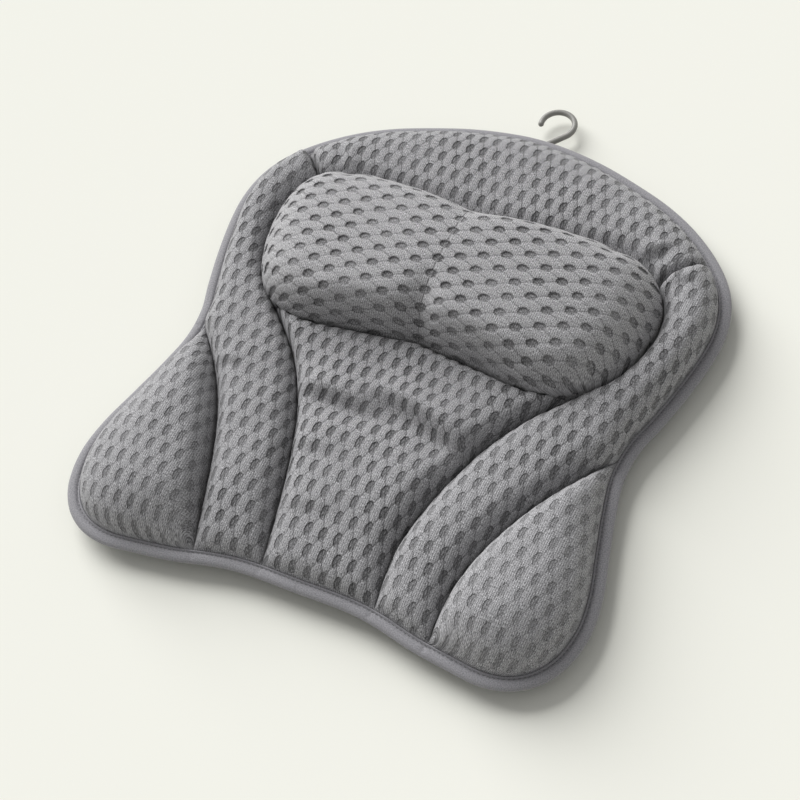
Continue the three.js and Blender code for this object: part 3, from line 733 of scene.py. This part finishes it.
def mesh_cloth(name, colour, weave):
    """Knitted air mesh: ribs with single stitches, a second layer of knit at the bottom of each crisp oval
    hole, and faint creases between the holes. Painted shade darkens each hole's floor, a crescent on its
    window side, its rim and the creases. The cloth's coordinates say how far its relief and painted shade
    stand out."""
    material, shader = new_material(
        name, colour, 0.85, {"Sheen Weight": 0.2, "Sheen Roughness": 0.4, "Specular IOR Level": 0.2})
    nodes, links = shader.id_data.nodes, shader.id_data.links
    (pitch_u, pitch_v), (hole_u, hole_v), (shadow_offset_u, shadow_offset_v) = weave["half_pitch"], weave["hole"], weave["shadow_offset"]
    hole_floor_painted_shade, painted_crease_darkness = weave["hole_floor_painted_shade"], weave["painted_crease_darkness"]
    place = on_cloth(shader, "cloth")
    u, v, taut = parts_of(place)
    stray_u, stray_v, _ = parts_of(grain(place, 160)["Color"])

    def strayed(way, stray):
        return plus(way, times(less(stray, 0.5), stray_of_holes))

    def oval(x, y):
        x, y = times(x, pitch_u / hole_u), times(y, pitch_v / hole_v)
        return calc("SQRT", plus(times(x, x), times(y, y)))

    def nearest_hole(x, y):
        x, y = to_and_fro(x), to_and_fro(y)
        return calc("MINIMUM", oval(x, y), oval(less(1.0, x), less(1.0, y)))

    def faded(shade):
        return plus(1.0, times(less(shade, 1.0), taut))

    a, b = over(strayed(u, stray_u), pitch_u), over(strayed(v, stray_v), pitch_v)
    ring = over(nearest_hole(a, b), 2.0)
    # Painted shadow: the hole moved away from the window. Inside the hole but outside the moved one, a
    # crescent on the window side is painted darker as the shadow of the hole's wall.
    shadow_moved_hole = over(nearest_hole(less(a, shadow_offset_u / pitch_u), less(b, shadow_offset_v / pitch_v)), 2.0)
    crease = calc("MINIMUM", to_and_fro(less(a, b)), to_and_fro(plus(a, b)))
    inside_hole = shades(ring, [(0.48, 1), (0.52, 0)])
    # Painted shade: each hole's floor is darker, and darker still in that crescent.
    painted_floor_and_crescent = shades(shadow_moved_hole, [(0.32, hole_floor_painted_shade), (0.5, 0.78 * hole_floor_painted_shade)])
    painted_hole_shade = faded(less(1.0, times(inside_hole, less(1.0, painted_floor_and_crescent))))
    # Painted shade: a thin dark ring round each hole's rim.
    painted_rim_shade = shades(ring, [(0.44, 1), (0.49, 0.6), (0.54, 1)])
    # Painted shade along the creases between the holes, together with the rim's.
    painted_crease_shade = shades(crease, [(0, 1 - painted_crease_darkness), (0.06, 1 - 0.8 * painted_crease_darkness), (0.14, 1)])
    painted_crease_shade = faded(times(painted_crease_shade, painted_rim_shade))

    rib, stitch = ribs(u, rib_pitch), ribs(v, 1.15 * rib_pitch)
    knit = plus(times(rib, 0.5), times(times(stitch, rib), 0.5))
    yarn = nodes.new("ShaderNodeVectorMath")
    yarn.operation = "MULTIPLY"
    yarn.inputs[1].default_value = (1, 0.35, 0)
    links.new(place, yarn.inputs[0])
    fleck = grain(yarn.outputs[0], 2100)[0]
    fleck_shade = shades(fleck, [(0.3, 0.34), (0.5, 0.98), (0.7, 1.74)])
    knit_shade = plus(1.0, times(knit, 0.36))
    tint = nodes.new("ShaderNodeVectorMath")
    tint.operation = "SCALE"
    tint.inputs[0].default_value = colour[:3]
    links.new(times(times(painted_hole_shade, painted_crease_shade), times(fleck_shade, knit_shade)), tint.inputs["Scale"])
    links.new(tint.outputs[0], shader.inputs["Base Color"])

    wall = shades(ring, [(0.4, 0), (0.53, 1)])
    hole_height = times(times(wall, taut), 5)
    raised(shader, plus(plus(hole_height, knit), times(fleck, 1.5)), 0.16 * MM)
    return material


front_colour = (0.345, 0.342, 0.352, 1)
# The shadow offset and the hole floor and crease levels of each weave set the painted shade in its colour.
front_weave = dict(
    half_pitch=(5.25 * MM, 13.4 * MM), hole=(2.65 * MM, 4.9 * MM), shadow_offset=(0.75 * MM, -0.5 * MM),
    depth=0.3 * MM, dome=0.45 * MM, hole_floor_painted_shade=0.56, painted_crease_darkness=0.55)
front_cloth = mesh_cloth("front_mesh_cloth", front_colour, front_weave)
for name, sheet in sheets.items():
    shape = chambers[name]
    sewn_round = np.vstack([shape[side] for side in ("left", "right", "low", "high")])
    cushion_mesh = finished_cloth(
        f"{name}_cushion", sheet, cloth_places(sheet), distance_over(sewn_round, sheet, sewn_height),
        front_weave, shape["relief"], fade=5 * MM)
    closed_below(cushion_mesh, pad_floor)
    cushion = piece_from(cushion_mesh, "pillow", front_cloth)
    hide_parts(f"{name}_panel", f"{name}_fill")


# Bolster: a stuffed bean in two lobes, its mesh cover in a left and a right half that meet in one seam over
# the middle. It is sewn down round its foot on a base pad, and its front stands out over the foot. The cover
# is made as one sheet, stuffed, and then cut into its halves.

bolster_foot = 15.2 * MM
bolster_top = foot_high.z + 5 * MM
end_low_shares = (0.86, 0.14)
end_high_shares = (0.93, 0.86)
half_columns, bolster_rows = 60, 60
front_reach, back_reach, end_reach = 10 * MM, 24 * MM, 24 * MM
lower_at_ends, lower_at_edges = 0.28, 0.1
wall_steepness = 0.42
dimple_depth, dimple_width, dimple_length = 9 * MM, 10 * MM, 26 * MM
front_overhang = 3 * MM

low_corner = foot_corner(end_low_shares)
high_corner = foot_corner(end_high_shares)
bolster_end = stretch(foot_line, low_corner, high_corner)
bolster_front = stretch(foot_line, foot_line[0], low_corner)
bolster_back = stretch(foot_line, high_corner, foot_line[-1])[::-1]
bolster_shape = dict(
    left=mirrored(bolster_end), right=bolster_end,
    low=np.vstack([mirrored(bolster_front)[::-1], bolster_front[1:]]),
    high=np.vstack([mirrored(bolster_back)[::-1], bolster_back[1:]]))
# Columns and rows stand closer together towards the foot, where the walls are steep.
bolster_sheet = grid_sheet("bolster_sheet", 2 * half_columns, bolster_rows)
s, t = places_of(bolster_sheet)[:, :2].T
aside = 2 * s - 1
s = 0.5 + 0.5 * np.sign(aside) * (0.6 * np.sin(math.pi / 2 * np.abs(aside)) + 0.4 * np.abs(aside))
t = crowded(t, 0.15)
bolster_plan = between_seams(bolster_shape, s, t)
from_foot = distance_to(bolster_plan[rim_of(bolster_sheet)], bolster_plan)
reach = front_reach + (back_reach - front_reach) * t + end_reach * (2 * s - 1) ** 2 * np.sin(math.pi * t)
loaf = 1 - lower_at_ends * (bolster_plan[:, 0] / foot_high.x) ** 2 - lower_at_edges * (2 * t - 1) ** 2
rise = loaf * flank(from_foot, reach, wall_steepness)
near_front = np.exp(-(from_foot / dimple_length) ** 2) * (1 - t)
dimple = dimple_depth * near_front * np.exp(-(bolster_plan[:, 0] / dimple_width) ** 2) * rise
bolster_plan[:, 1] -= front_overhang * 4 * rise * (1 - rise).clip(0) * (1 - t) ** 2
bolster_height = bolster_foot + (bolster_top - bolster_foot) * rise - dimple
set_places(bolster_sheet, np.column_stack([bolster_plan, bolster_height]))
stuffed([bolster_sheet], pressure=2.5, slack=0.02, cap=3 * MM, evened=12)

bolster_colour = (0.385, 0.381, 0.39, 1)
# The shadow offset and the hole floor and crease levels set the painted shade in the bolster cloth's colour.
bolster_weave = dict(
    half_pitch=(13.9 * MM, 6.1 * MM), hole=(4.1 * MM, 3.1 * MM), shadow_offset=(0.7 * MM, -0.95 * MM),
    depth=1.2 * MM, dome=0.45 * MM, hole_floor_painted_shade=0.7, painted_crease_darkness=0.4)
bolster_cloth = mesh_cloth("bolster_mesh_cloth", bolster_colour, bolster_weave)


def half_of(sheet_values, first):
    """The left or the right half of what a sheet's points hold, its middle column in both."""
    grid = sheet_values.reshape(bolster_rows + 1, 2 * half_columns + 1, -1)
    return grid[:, first:first + half_columns + 1].reshape(-1, grid.shape[2])


bolster_places = places_of(bolster_sheet)
bolster_places[half_columns::2 * half_columns + 1, 0] = 0
bolster_flat = cloth_places(bolster_sheet)
for side, first in (("left", 0), ("right", half_columns)):
    half = grid_sheet(f"{side}_half", half_columns, bolster_rows)
    set_places(half, half_of(bolster_places, first))
    foot = mirrored(foot_line) if side == "left" else foot_line
    half_mesh = finished_cloth(
        f"bolster_{side}", half, half_of(bolster_flat, first), distance_over(foot, half, bolster_foot),
        bolster_weave, strength=1, fade=12 * MM)
    closed_below(half_mesh, bolster_foot - 0.5 * MM)
    piece = piece_from(half_mesh, "pillow", bolster_cloth)
    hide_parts(f"bolster_cover_{side}", f"bolster_fill_{side}", "bolster_base_pad")


# Seam thread: grey polyester, whose stitches show in the seams between the chambers. Each stitch is a short
# rounded grain, laid along its seam.

seam_thread_colour = (0.09, 0.09, 0.095, 1)
thread_thickness = 0.5 * MM
seam_stitch = (3.4 * MM, 2.6 * MM)

stitch_bm = bmesh.new()
bmesh.ops.create_uvsphere(stitch_bm, u_segments=6, v_segments=4, radius=1)
one_stitch = mesh_of(stitch_bm, "one_stitch")


def stitched(name, rows, stitch, thread):
    """A piece with the stitches of some rows, one for each pitch of a row; a row is a line and its height."""
    pitch, length = stitch
    bm = bmesh.new()
    for line, height in rows:
        count = max(int(line_length(line) / pitch), 1)
        starts = along(line, (np.arange(count) + 0.5 - length / pitch / 2) / count)
        ends = along(line, (np.arange(count) + 0.5 + length / pitch / 2) / count)
        for start, end in zip(starts, ends):
            run = Vector((*(end - start), 0))
            turned = run.to_track_quat("X", "Z").to_matrix().to_4x4()
            size = Matrix.Diagonal((run.length / 2, thread_thickness / 2, thread_thickness / 2, 1))
            laid = one_stitch.copy()
            laid.transform(Matrix.Translation((*((start + end) / 2), height)) @ turned @ size)
            bm.from_mesh(laid)
            bpy.data.meshes.remove(laid)
    piece_from(mesh_of(bm, name), "pillow", thread)


def on_piece(shader):
    """A piece's own coordinates."""
    return shader.id_data.nodes.new("ShaderNodeTexCoord").outputs["Object"]


def twisted_thread(name, colour):
    """Sewing thread, whose fine slanting bands are its twist."""
    material, shader = new_material(name, colour, 0.6, {"Sheen Weight": 0.3})
    twist = shader.id_data.nodes.new("ShaderNodeTexWave")
    twist.wave_type = "BANDS"
    twist.bands_direction = "DIAGONAL"
    twist.inputs["Scale"].default_value = 1200
    shader.id_data.links.new(on_piece(shader), twist.inputs["Vector"])
    raised(shader, twist.outputs["Fac"], 0.05 * MM)
    return material


seam_thread = twisted_thread("seam_thread", seam_thread_colour)
sewn_lines = [
    inner_right, seams["right"]["outer"], shoulder_seam,
    inner_left, mirrored(seams["left"]["outer"]), mirrored(shoulder_seam)]
stitched(
    "seam_stitches", [(line, sewn_height + 0.1 * MM) for line in sewn_lines], seam_stitch, seam_thread)


# Back cover: one flat sheet of fine plain mesh under the whole pillow, with an eyelet hole for each cup. The
# quilting seams come through it, and the filling swells it a little between them.

back_colour = (0.2, 0.2, 0.205)
back_low, back_high = (corner.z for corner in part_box("back_cover"))
back_cell = 2.2 * MM
back_under_tape = 5 * MM
back_swell, swell_reach = 1.5 * MM, 9 * MM
flat_round_patch, rise_round_patch = 4 * MM, 12 * MM
clear_of_eyelet = 2.5 * MM
cup_places = {
    name[len("suction_cup_"):]: sum(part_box(name), Vector()) / 2
    for name in sorted(frame["nodes"]) if name.startswith("suction_cup_")}
cup_plans = [(centre.x, centre.y) for centre in cup_places.values()]
patch_radius = (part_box("cup_patch_top_left")[1].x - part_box("cup_patch_top_left")[0].x) / 2
neck_radius = 4.4 * MM
neck_clearance = 0.8 * MM
eyelet_wall = 1 * MM
eyelet_radius = neck_radius + neck_clearance + eyelet_wall


def inside(ring, places):
    """Which places lie inside a closed line."""
    odd = np.zeros(len(places), bool)
    x, y = places.T
    for (x1, y1), (x2, y2) in zip(ring, np.roll(ring, -1, axis=0)):
        crosses = (y1 > y) != (y2 > y)
        with np.errstate(divide="ignore", invalid="ignore"):
            odd ^= crosses & (x < (x2 - x1) * (y - y1) / (y2 - y1) + x1)
    return odd


def distance_to_cup(places):
    """Distance of each place from the nearest cup's middle."""
    return np.min([np.linalg.norm(places - plan, axis=1) for plan in cup_plans], axis=0)


back_size = np.array((body_high.x - body_low.x, body_high.y - body_low.y))
back_columns, back_rows = (round(side_length / back_cell) for side_length in back_size)
back_mesh = grid_sheet("back_cover_sheet", back_columns, back_rows)
back_plan = np.array((body_low.x, body_low.y)) + places_of(back_mesh)[:, :2] * back_size
from_cup = distance_to_cup(back_plan)
kept = inside(moved_in(edge_line, back_under_tape)[::4], back_plan)
kept &= from_cup > eyelet_radius + clear_of_eyelet
sewn_through = sewn_lines + [foot_line, mirrored(foot_line)]
to_seam = distance_to(np.vstack(sewn_through + [edge_inside]), back_plan)
swell = 1 - np.exp(-(to_seam / swell_reach) ** 2)
swell *= ((from_cup - patch_radius - flat_round_patch) / rise_round_patch).clip(0, 1)
set_places(back_mesh, np.column_stack([back_plan, back_low - back_swell * swell]))
back_bm = bmesh.new()
back_bm.from_mesh(back_mesh)
back_bm.verts.ensure_lookup_table()
bmesh.ops.delete(back_bm, geom=[back_bm.verts[int(i)] for i in np.flatnonzero(~kept)], context="VERTS")
bmesh.ops.solidify(back_bm, geom=back_bm.faces, thickness=-(back_high - back_low))
bmesh.ops.recalc_face_normals(back_bm, faces=back_bm.faces)


def plain_mesh(name, colour):
    """Fine warp-knitted mesh: small round holes in even rows, each dark and sunk."""
    material, shader = new_material(name, (*colour, 1), 0.85)
    half_pitch = 1.1 * MM
    x, y, _ = parts_of(on_piece(shader))
    a, b = to_and_fro(over(x, half_pitch)), to_and_fro(over(y, half_pitch))
    near = plus(times(a, a), times(b, b))
    a, b = less(1.0, a), less(1.0, b)
    far = plus(times(a, a), times(b, b))
    hole = calc("SQRT", calc("MINIMUM", near, far))
    shade = shades(hole, [(0.3, 0.35 * np.array(colour)), (0.46, colour)], blend="LINEAR")
    shader.id_data.links.new(shade, shader.inputs["Base Color"])
    raised(shader, hole, 0.3 * MM)
    return material


back_piece = piece_from(
    mesh_of(back_bm, "back_cover_cloth"), "pillow", plain_mesh("back_mesh_cloth", back_colour))
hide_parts("back_cover")
back_seam_rows = []
for line in sewn_through:
    free = np.flatnonzero(distance_to_cup(line) > patch_radius)
    for run in np.split(free, np.flatnonzero(np.diff(free) > 1) + 1):
        if len(run) > 3:
            back_seam_rows.append((line[run], back_low - 0.1 * MM))
stitched("back_seam_stitches", back_seam_rows, seam_stitch, seam_thread)


# Binding: a smooth woven tape, folded over the edge of mesh and back cover and sewn through in one row near
# its inner edge, so that the edge stands up as a thin ridge beside the row. It creases on inward bends.

tape_colour = (0.275, 0.27, 0.288)
tape_thread_colour = (0.12, 0.12, 0.125, 1)
tape_weave_pitch = 0.9 * MM
tape_middle = (back_low + back_high) / 2
tape_steps = 1100
tape_stitch = (3.2 * MM, 2.4 * MM)
tape_stitch_inset, tape_stitch_height = 7.15 * MM, 1.6 * MM
pucker_height, seam_dip, seam_dip_width = 0.22 * MM, 0.7 * MM, 1.5 * MM
body_middle, body_width = 4 * MM, 2.6 * MM
bend_steps, bend_gain = 6, 6
# The profile in millimetres, across from the outer edge and up from the tape's middle: the outside from the
# inner edge over the ridge, the stitch groove and the body to the outer edge, then the fold inside.
tape_half_profile = [
    (9.0, 1.3), (8.95, 1.9), (8.7, 2.35), (8.3, 2.5), (7.9, 2.35), (7.6, 1.85), (7.3, 1.5), (6.95, 1.55),
    (6.6, 1.95), (6.0, 2.4), (5.2, 2.65), (4.0, 2.7), (2.8, 2.55), (1.8, 2.25), (1.0, 1.8), (0.45, 1.2),
    (0.12, 0.6), (0, 0)]
tape_inner_profile = [(8.9, -0.95), (5, -0.95), (1.6, -0.9), (1.3, 0), (1.6, 0.9), (5, 0.95), (8.9, 0.95)]
tape_outer_profile = tape_half_profile + [(x, -z) for x, z in tape_half_profile[-2::-1]]
tape_profile = np.array(tape_outer_profile + tape_inner_profile) * MM

tape_sheet = grid_sheet("binding_tape", len(tape_profile), tape_steps)
across_index, step = np.round(places_of(tape_sheet)[:, :2] * (len(tape_profile), tape_steps)).astype(int).T
across_index, step = across_index % len(tape_profile), step % tape_steps
tape_line = along(back_to_start(edge_line), np.arange(tape_steps) / tape_steps)
inward = inward_of(tape_line)
heading = np.unwrap(np.arctan2(-inward[:, 0], inward[:, 1]))
turning = np.roll(heading, -bend_steps) - np.roll(heading, bend_steps)
turning = (turning + math.pi) % (2 * math.pi) - math.pi
tape_run = line_length(back_to_start(edge_line)) * np.arange(tape_steps) / tape_steps
pucker = 0.5 * sway(tape_run, 2.3 * MM, tape_run, 17 * MM, 2) * (-turning * bend_gain).clip(0, 1)
pucker += 0.35 * sway(tape_run, 13 * MM, tape_run, 31 * MM)
seam_ends = [seams["right"]["inner_foot"], seams["right"]["outer_foot"], waist]
seam_ends += [mirrored(end) for end in (seams["left"]["inner_foot"], seams["left"]["outer_foot"], waist)]
dip = np.zeros(tape_steps)
for place in seam_ends:
    gap = np.linalg.norm(tape_line + tape_width * inward - place, axis=1)
    dip = np.maximum(dip, np.exp(-(gap / seam_dip_width) ** 2))
across, up = tape_profile[across_index].T
on_body = np.exp(-((across - body_middle) / body_width) ** 2) * (across_index < len(tape_outer_profile))
lift = (pucker_height * pucker[step] - seam_dip * dip[step]) * on_body * np.sign(up)
tape_plan = tape_line[step] + inward[step] * across[:, None]
set_places(tape_sheet, np.column_stack([tape_plan, tape_middle + up + lift]))
set_vectors(tape_sheet, "tape", np.column_stack([tape_run[step], across + np.abs(up), np.zeros(len(step))]))
tape_bm = bmesh.new()
tape_bm.from_mesh(tape_sheet)
bmesh.ops.remove_doubles(tape_bm, verts=tape_bm.verts, dist=0.01 * MM)
bmesh.ops.recalc_face_normals(tape_bm, faces=tape_bm.faces)


def woven_tape(name, source_name=None):
    """Close plain weave, fine threads along and across, with a faint uneven sheen."""
    material, shader = new_material(
        name, (*tape_colour, 1), 0.72, {"Sheen Weight": 0.35, "Sheen Roughness": 0.35})
    place = on_cloth(shader, source_name) if source_name else on_piece(shader)
    x, y, _ = parts_of(place)
    weave = times(ribs(x, tape_weave_pitch), ribs(y, tape_weave_pitch))
    dark, light = 0.66 * np.array(tape_colour), 1.3 * np.array(tape_colour)
    shade = shades(grain(place, 1100, 3)[0], [(0.3, dark), (0.7, light)], blend="LINEAR")
    shader.id_data.links.new(shade, shader.inputs["Base Color"])
    raised(shader, weave, 0.05 * MM)
    return material


tape_cloth = woven_tape("binding_tape_cloth", "tape")
tape_piece = piece_from(mesh_of(tape_bm, "binding_tape"), "pillow", tape_cloth)
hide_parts("edge_binding")
tape_thread = twisted_thread("binding_thread", tape_thread_colour)
stitch_ring = back_to_start(moved_in(edge_line, tape_stitch_inset))
tape_rows = [(stitch_ring, tape_middle + face * tape_stitch_height) for face in (1, -1)]
stitched("binding_stitches", tape_rows, tape_stitch, tape_thread)


# Cup fittings: a round patch of tape cloth sewn to the back, a satin aluminium eyelet pressed through it, and
# a clear vinyl suction cup, a one-piece moulding whose button head is pushed in through the eyelet.

patch_low, patch_high = (corner.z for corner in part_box("cup_patch_top_left"))
patch_hole = eyelet_radius + 0.3 * MM
patch_stitch_radius = patch_radius - 2.6 * MM
eyelet_colour = (0.6, 0.61, 0.62, 1)
eyelet_low, eyelet_high = (corner.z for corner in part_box("eyelet_top_left"))
eyelet_bore = neck_radius + neck_clearance
flange_radius = eyelet_radius + 3 * MM
flange_thickness = 0.6 * MM
vinyl_colour = (0.86, 0.9, 0.92, 1)
cup_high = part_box("suction_cup_top_left")[1].z
cup_radius = 28 * MM
bell_top, hollow_top = 10.4 * MM, 7 * MM
bell_shoulder = 8 * MM
bell_curve, bell_steps = 1.7, 14
rim_land = 2 * MM
head_radius = 8 * MM
head_low = cup_high - 2.6 * MM


def spun(name, profile, centre, steps=64):
    """A turned shape from its profile, radius and height, about an upright line through a place."""
    bm = bmesh.new()
    rim = [bm.verts.new((r, 0, z)) for r, z in profile]
    for a, b in zip(rim, rim[1:]):
        bm.edges.new((a, b))
    bmesh.ops.spin(
        bm, geom=bm.verts[:] + bm.edges[:], cent=(0, 0, 0), axis=(0, 0, 1), angle=2 * math.pi, steps=steps,
        use_merge=True)
    bmesh.ops.remove_doubles(bm, verts=bm.verts, dist=0.01 * MM)
    bmesh.ops.recalc_face_normals(bm, faces=bm.faces)
    bmesh.ops.translate(bm, verts=bm.verts, vec=(centre.x, centre.y, 0))
    return mesh_of(bm, name)


def rounded(points, rounds=3):
    """A closed profile whose corners are rounded off."""
    points = np.array(points, float)
    for _ in range(rounds):
        after = np.roll(points, -1, axis=0)
        points = np.stack([0.75 * points + 0.25 * after, 0.25 * points + 0.75 * after], 1).reshape(-1, 2)
    return back_to_start(points)


eyelet_metal, eyelet_shader = new_material("eyelet_aluminium", eyelet_colour, 0.32, {"Metallic": 1})
raised(eyelet_shader, grain(on_piece(eyelet_shader), 900, 4)[0], 0.02 * MM)
vinyl, vinyl_shader = new_material(
    "clear_vinyl", vinyl_colour, 0.14, {"Transmission Weight": 0.75, "IOR": 1.45})
raised(vinyl_shader, grain(on_piece(vinyl_shader), 120, 2)[0], 0.08 * MM)
patch_cloth = woven_tape("patch_cloth")
patch_profile = rounded([
    (patch_hole, patch_low), (patch_radius, patch_low), (patch_radius, patch_high), (patch_hole, patch_high)])
eyelet_profile = rounded([
    (eyelet_bore, eyelet_low), (flange_radius, eyelet_low), (flange_radius, eyelet_low + flange_thickness),
    (eyelet_radius, eyelet_low + flange_thickness), (eyelet_radius, eyelet_high - flange_thickness),
    (flange_radius, eyelet_high - flange_thickness), (flange_radius, eyelet_high),
    (eyelet_bore, eyelet_high)], rounds=2)
outwards = [k / bell_steps for k in range(bell_steps + 1)]
hollow = [((cup_radius - rim_land) * k, hollow_top * (1 - k ** bell_curve)) for k in outwards]
bell = [
    (bell_shoulder + (cup_radius - bell_shoulder) * k, bell_top * (1 - k ** bell_curve))
    for k in outwards[::-1]]
neck_and_head = [
    (neck_radius + 1.2 * MM, bell_top + 0.1 * MM), (neck_radius, bell_top + 0.5 * MM),
    (neck_radius, head_low), (head_radius - 0.3 * MM, head_low), (head_radius, head_low + 0.4 * MM),
    (head_radius, cup_high - 1.1 * MM), (head_radius - 0.4 * MM, cup_high - 0.4 * MM),
    (head_radius - 1.2 * MM, cup_high), (0, cup_high)]
cup_profile = hollow + [(cup_radius - 0.3 * MM, 0)] + bell + neck_and_head
for name, centre in cup_places.items():
    patch_piece = piece_from(
        spun(f"patch_{name}", patch_profile, centre), "pillow", patch_cloth)
    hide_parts(f"cup_patch_{name}")
    eyelet_piece = piece_from(
        spun(f"eyelet_ring_{name}", eyelet_profile, centre), "pillow", eyelet_metal)
    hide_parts(f"eyelet_{name}")
    cup_piece = piece_from(
        spun(f"cup_{name}", cup_profile, centre, steps=96), f"cup_{name}", vinyl)
    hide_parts(f"suction_cup_{name}")
angles = np.linspace(0, 2 * math.pi, 73)
patch_circle = patch_stitch_radius * np.stack([np.cos(angles), np.sin(angles)], -1)
patch_rows = [(np.array(plan) + patch_circle, patch_low) for plan in cup_plans]
stitched("patch_stitches", patch_rows, tape_stitch, tape_thread)


# Hook: one moulding in grey plastic, a flat eye that runs into a round rod bent to an open ring. Its eye's
# lower bar goes through the webbing loop, and it swings on that.

hook_colour = (0.245, 0.24, 0.225, 1)
hook_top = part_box("hanging_hook")[1].y
bar_place = Vector(frame["joints"][0]["pos_m"])
rod_radius = 2.2 * MM
eye_plate = 3.2 * MM
eye_corner = 1.6 * MM
eye_inner_width, eye_inner_length = 17 * MM, 5 * MM
ring_radius = 12.5 * MM
ring_centre = Vector((3.4 * MM, hook_top - ring_radius - rod_radius))
rod_bend = 10 * MM
ring_start, ring_tip = math.radians(40), math.radians(193)
hook_cell = 0.4 * MM


def on_circle(centre, radius, angle):
    """A place on a level circle at the height of the eye's bar."""
    return (centre.x + radius * math.cos(angle), centre.y + radius * math.sin(angle), bar_place.z)


def hook_path():
    """The rod's middle line, from the eye round to the tip."""
    lead = Vector(on_circle(ring_centre, ring_radius, -ring_start)[:2])
    slant = Vector((math.sin(ring_start), math.cos(ring_start)))
    run = (lead.x - rod_bend * (1 - math.cos(ring_start))) / math.sin(ring_start)
    bend_centre = Vector((rod_bend, (lead - run * slant).y - rod_bend * math.sin(ring_start)))
    sweep = ring_tip + ring_start
    bend = [on_circle(bend_centre, rod_bend, math.pi - ring_start * k / 12) for k in range(13)]
    ring = [on_circle(ring_centre, ring_radius, -ring_start + sweep * k / 60) for k in range(61)]
    return [(0, bar_place.y + eye_plate + eye_inner_length, bar_place.z)] + bend + ring


def eye_path():
    """The middle line of the eye's bar, a rectangle with round corners."""
    half_x = (eye_inner_width + eye_plate) / 2 - eye_corner
    low_y, high_y = bar_place.y + eye_corner, bar_place.y + eye_inner_length + eye_plate - eye_corner
    path = []
    corners = [(half_x, high_y), (-half_x, high_y), (-half_x, low_y), (half_x, low_y)]
    for quarter, middle in enumerate(corners):
        path += [on_circle(Vector(middle), eye_corner, math.pi / 2 * (quarter + k / 6)) for k in range(7)]
    return path


def rod_along(path, radius, closed=False):
    """A round rod along a path, as a mesh."""
    curve = bpy.data.curves.new("rod", "CURVE")
    curve.dimensions = "3D"
    curve.bevel_depth = radius
    curve.bevel_resolution = 6
    curve.use_fill_caps = True
    spline = curve.splines.new("POLY")
    spline.points.add(len(path) - 1)
    for point, place in zip(spline.points, path):
        point.co = (*place, 1)
    spline.use_cyclic_u = closed
    holder = bpy.data.objects.new("rod", curve)
    mesh = bpy.data.meshes.new_from_object(holder)
    bpy.data.objects.remove(holder)
    return mesh


hook_bm = bmesh.new()
hook_bm.from_mesh(rod_along(hook_path(), rod_radius))
tip = Matrix.Translation(hook_path()[-1])
bmesh.ops.create_uvsphere(hook_bm, u_segments=24, v_segments=16, radius=rod_radius, matrix=tip)
hook_bm.from_mesh(rod_along(eye_path(), eye_plate / 2, closed=True))
rough_hook = bpy.data.objects.new("rough_hook", mesh_of(hook_bm, "rough_hook"))
fused = rough_hook.modifiers.new("fused", "REMESH")
fused.mode = "VOXEL"
fused.voxel_size = hook_cell
eased = rough_hook.modifiers.new("eased", "SMOOTH")
eased.factor = 0.5
eased.iterations = 6
hook_plastic, hook_shader = new_material("hook_plastic", hook_colour, 0.42)
raised(hook_shader, grain(on_piece(hook_shader), 1400, 3)[0], 0.03 * MM)
hook_piece = piece_from(applied(rough_hook, "hook"), "hook", hook_plastic)
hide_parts("hanging_hook")


# Hanging loop: ribbed webbing, folded round the hook's bar, its two ends laid on each other and sewn to the
# back with a box of stitches and a cross.

webbing_colour = (0.21, 0.205, 0.22, 1)
loop_low, loop_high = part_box("hanging_loop")
webbing_thickness = 1.2 * MM
webbing_rib, webbing_strand = 1.3 * MM, 0.9 * MM
webbing_taper, webbing_sewn = 13 * MM, 9 * MM
tack_stitch = (2.2 * MM, 1.8 * MM)
loop_radius = loop_high.z - bar_place.z - webbing_thickness / 2
lower_ply = loop_radius - 1.02 * webbing_thickness
webbing_end = -webbing_taper - webbing_sewn
half_turn = np.linspace(math.pi / 2, -math.pi / 2, 25)
webbing_path = np.array(
    [(webbing_end, loop_radius), (-webbing_taper, loop_radius), (-webbing_taper / 2, loop_radius)]
    + [(loop_radius * math.cos(a), loop_radius * math.sin(a)) for a in half_turn]
    + [(-webbing_taper / 2, -0.2 * loop_radius), (-webbing_taper, lower_ply), (webbing_end, lower_ply)])
webbing_sheet = grid_sheet("webbing_loop", 24, 90)
s, t = places_of(webbing_sheet)[:, :2].T
webbing_y, webbing_z = along(webbing_path, t).T
webbing_x = loop_low.x + s * (loop_high.x - loop_low.x)
set_places(webbing_sheet, np.column_stack([webbing_x, bar_place.y + webbing_y, bar_place.z + webbing_z]))
loop_bm = bmesh.new()
loop_bm.from_mesh(webbing_sheet)
bmesh.ops.recalc_face_normals(loop_bm, faces=loop_bm.faces)
bmesh.ops.solidify(loop_bm, geom=loop_bm.faces, thickness=webbing_thickness * 0.96)
for v in loop_bm.verts:
    v.co.z = min(v.co.z, loop_high.z)
bmesh.ops.recalc_face_normals(loop_bm, faces=loop_bm.faces)
webbing, webbing_shader = new_material("grey_webbing", webbing_colour, 0.75, {"Sheen Weight": 0.3})
x, y, _ = parts_of(on_piece(webbing_shader))
raised(webbing_shader, plus(ribs(y, webbing_rib), times(ribs(x, webbing_strand), 0.4)), 0.15 * MM)
loop_piece = piece_from(mesh_of(loop_bm, "webbing_loop"), "pillow", webbing)
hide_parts("hanging_loop")
box_x = 5.6 * MM
box_low = bar_place.y + webbing_end + 1.5 * MM
box_high = bar_place.y - webbing_taper - 1 * MM
tack = np.array([
    (-box_x, box_low), (box_x, box_low), (box_x, box_high), (-box_x, box_high), (-box_x, box_low),
    (box_x, box_high), (box_x, box_low), (-box_x, box_high)])
tack_height = bar_place.z + loop_radius - 1.55 * webbing_thickness
tack_rows = [(np.array(side), tack_height) for side in zip(tack, tack[1:])]
stitched("loop_stitches", tack_rows, tack_stitch, tape_thread)
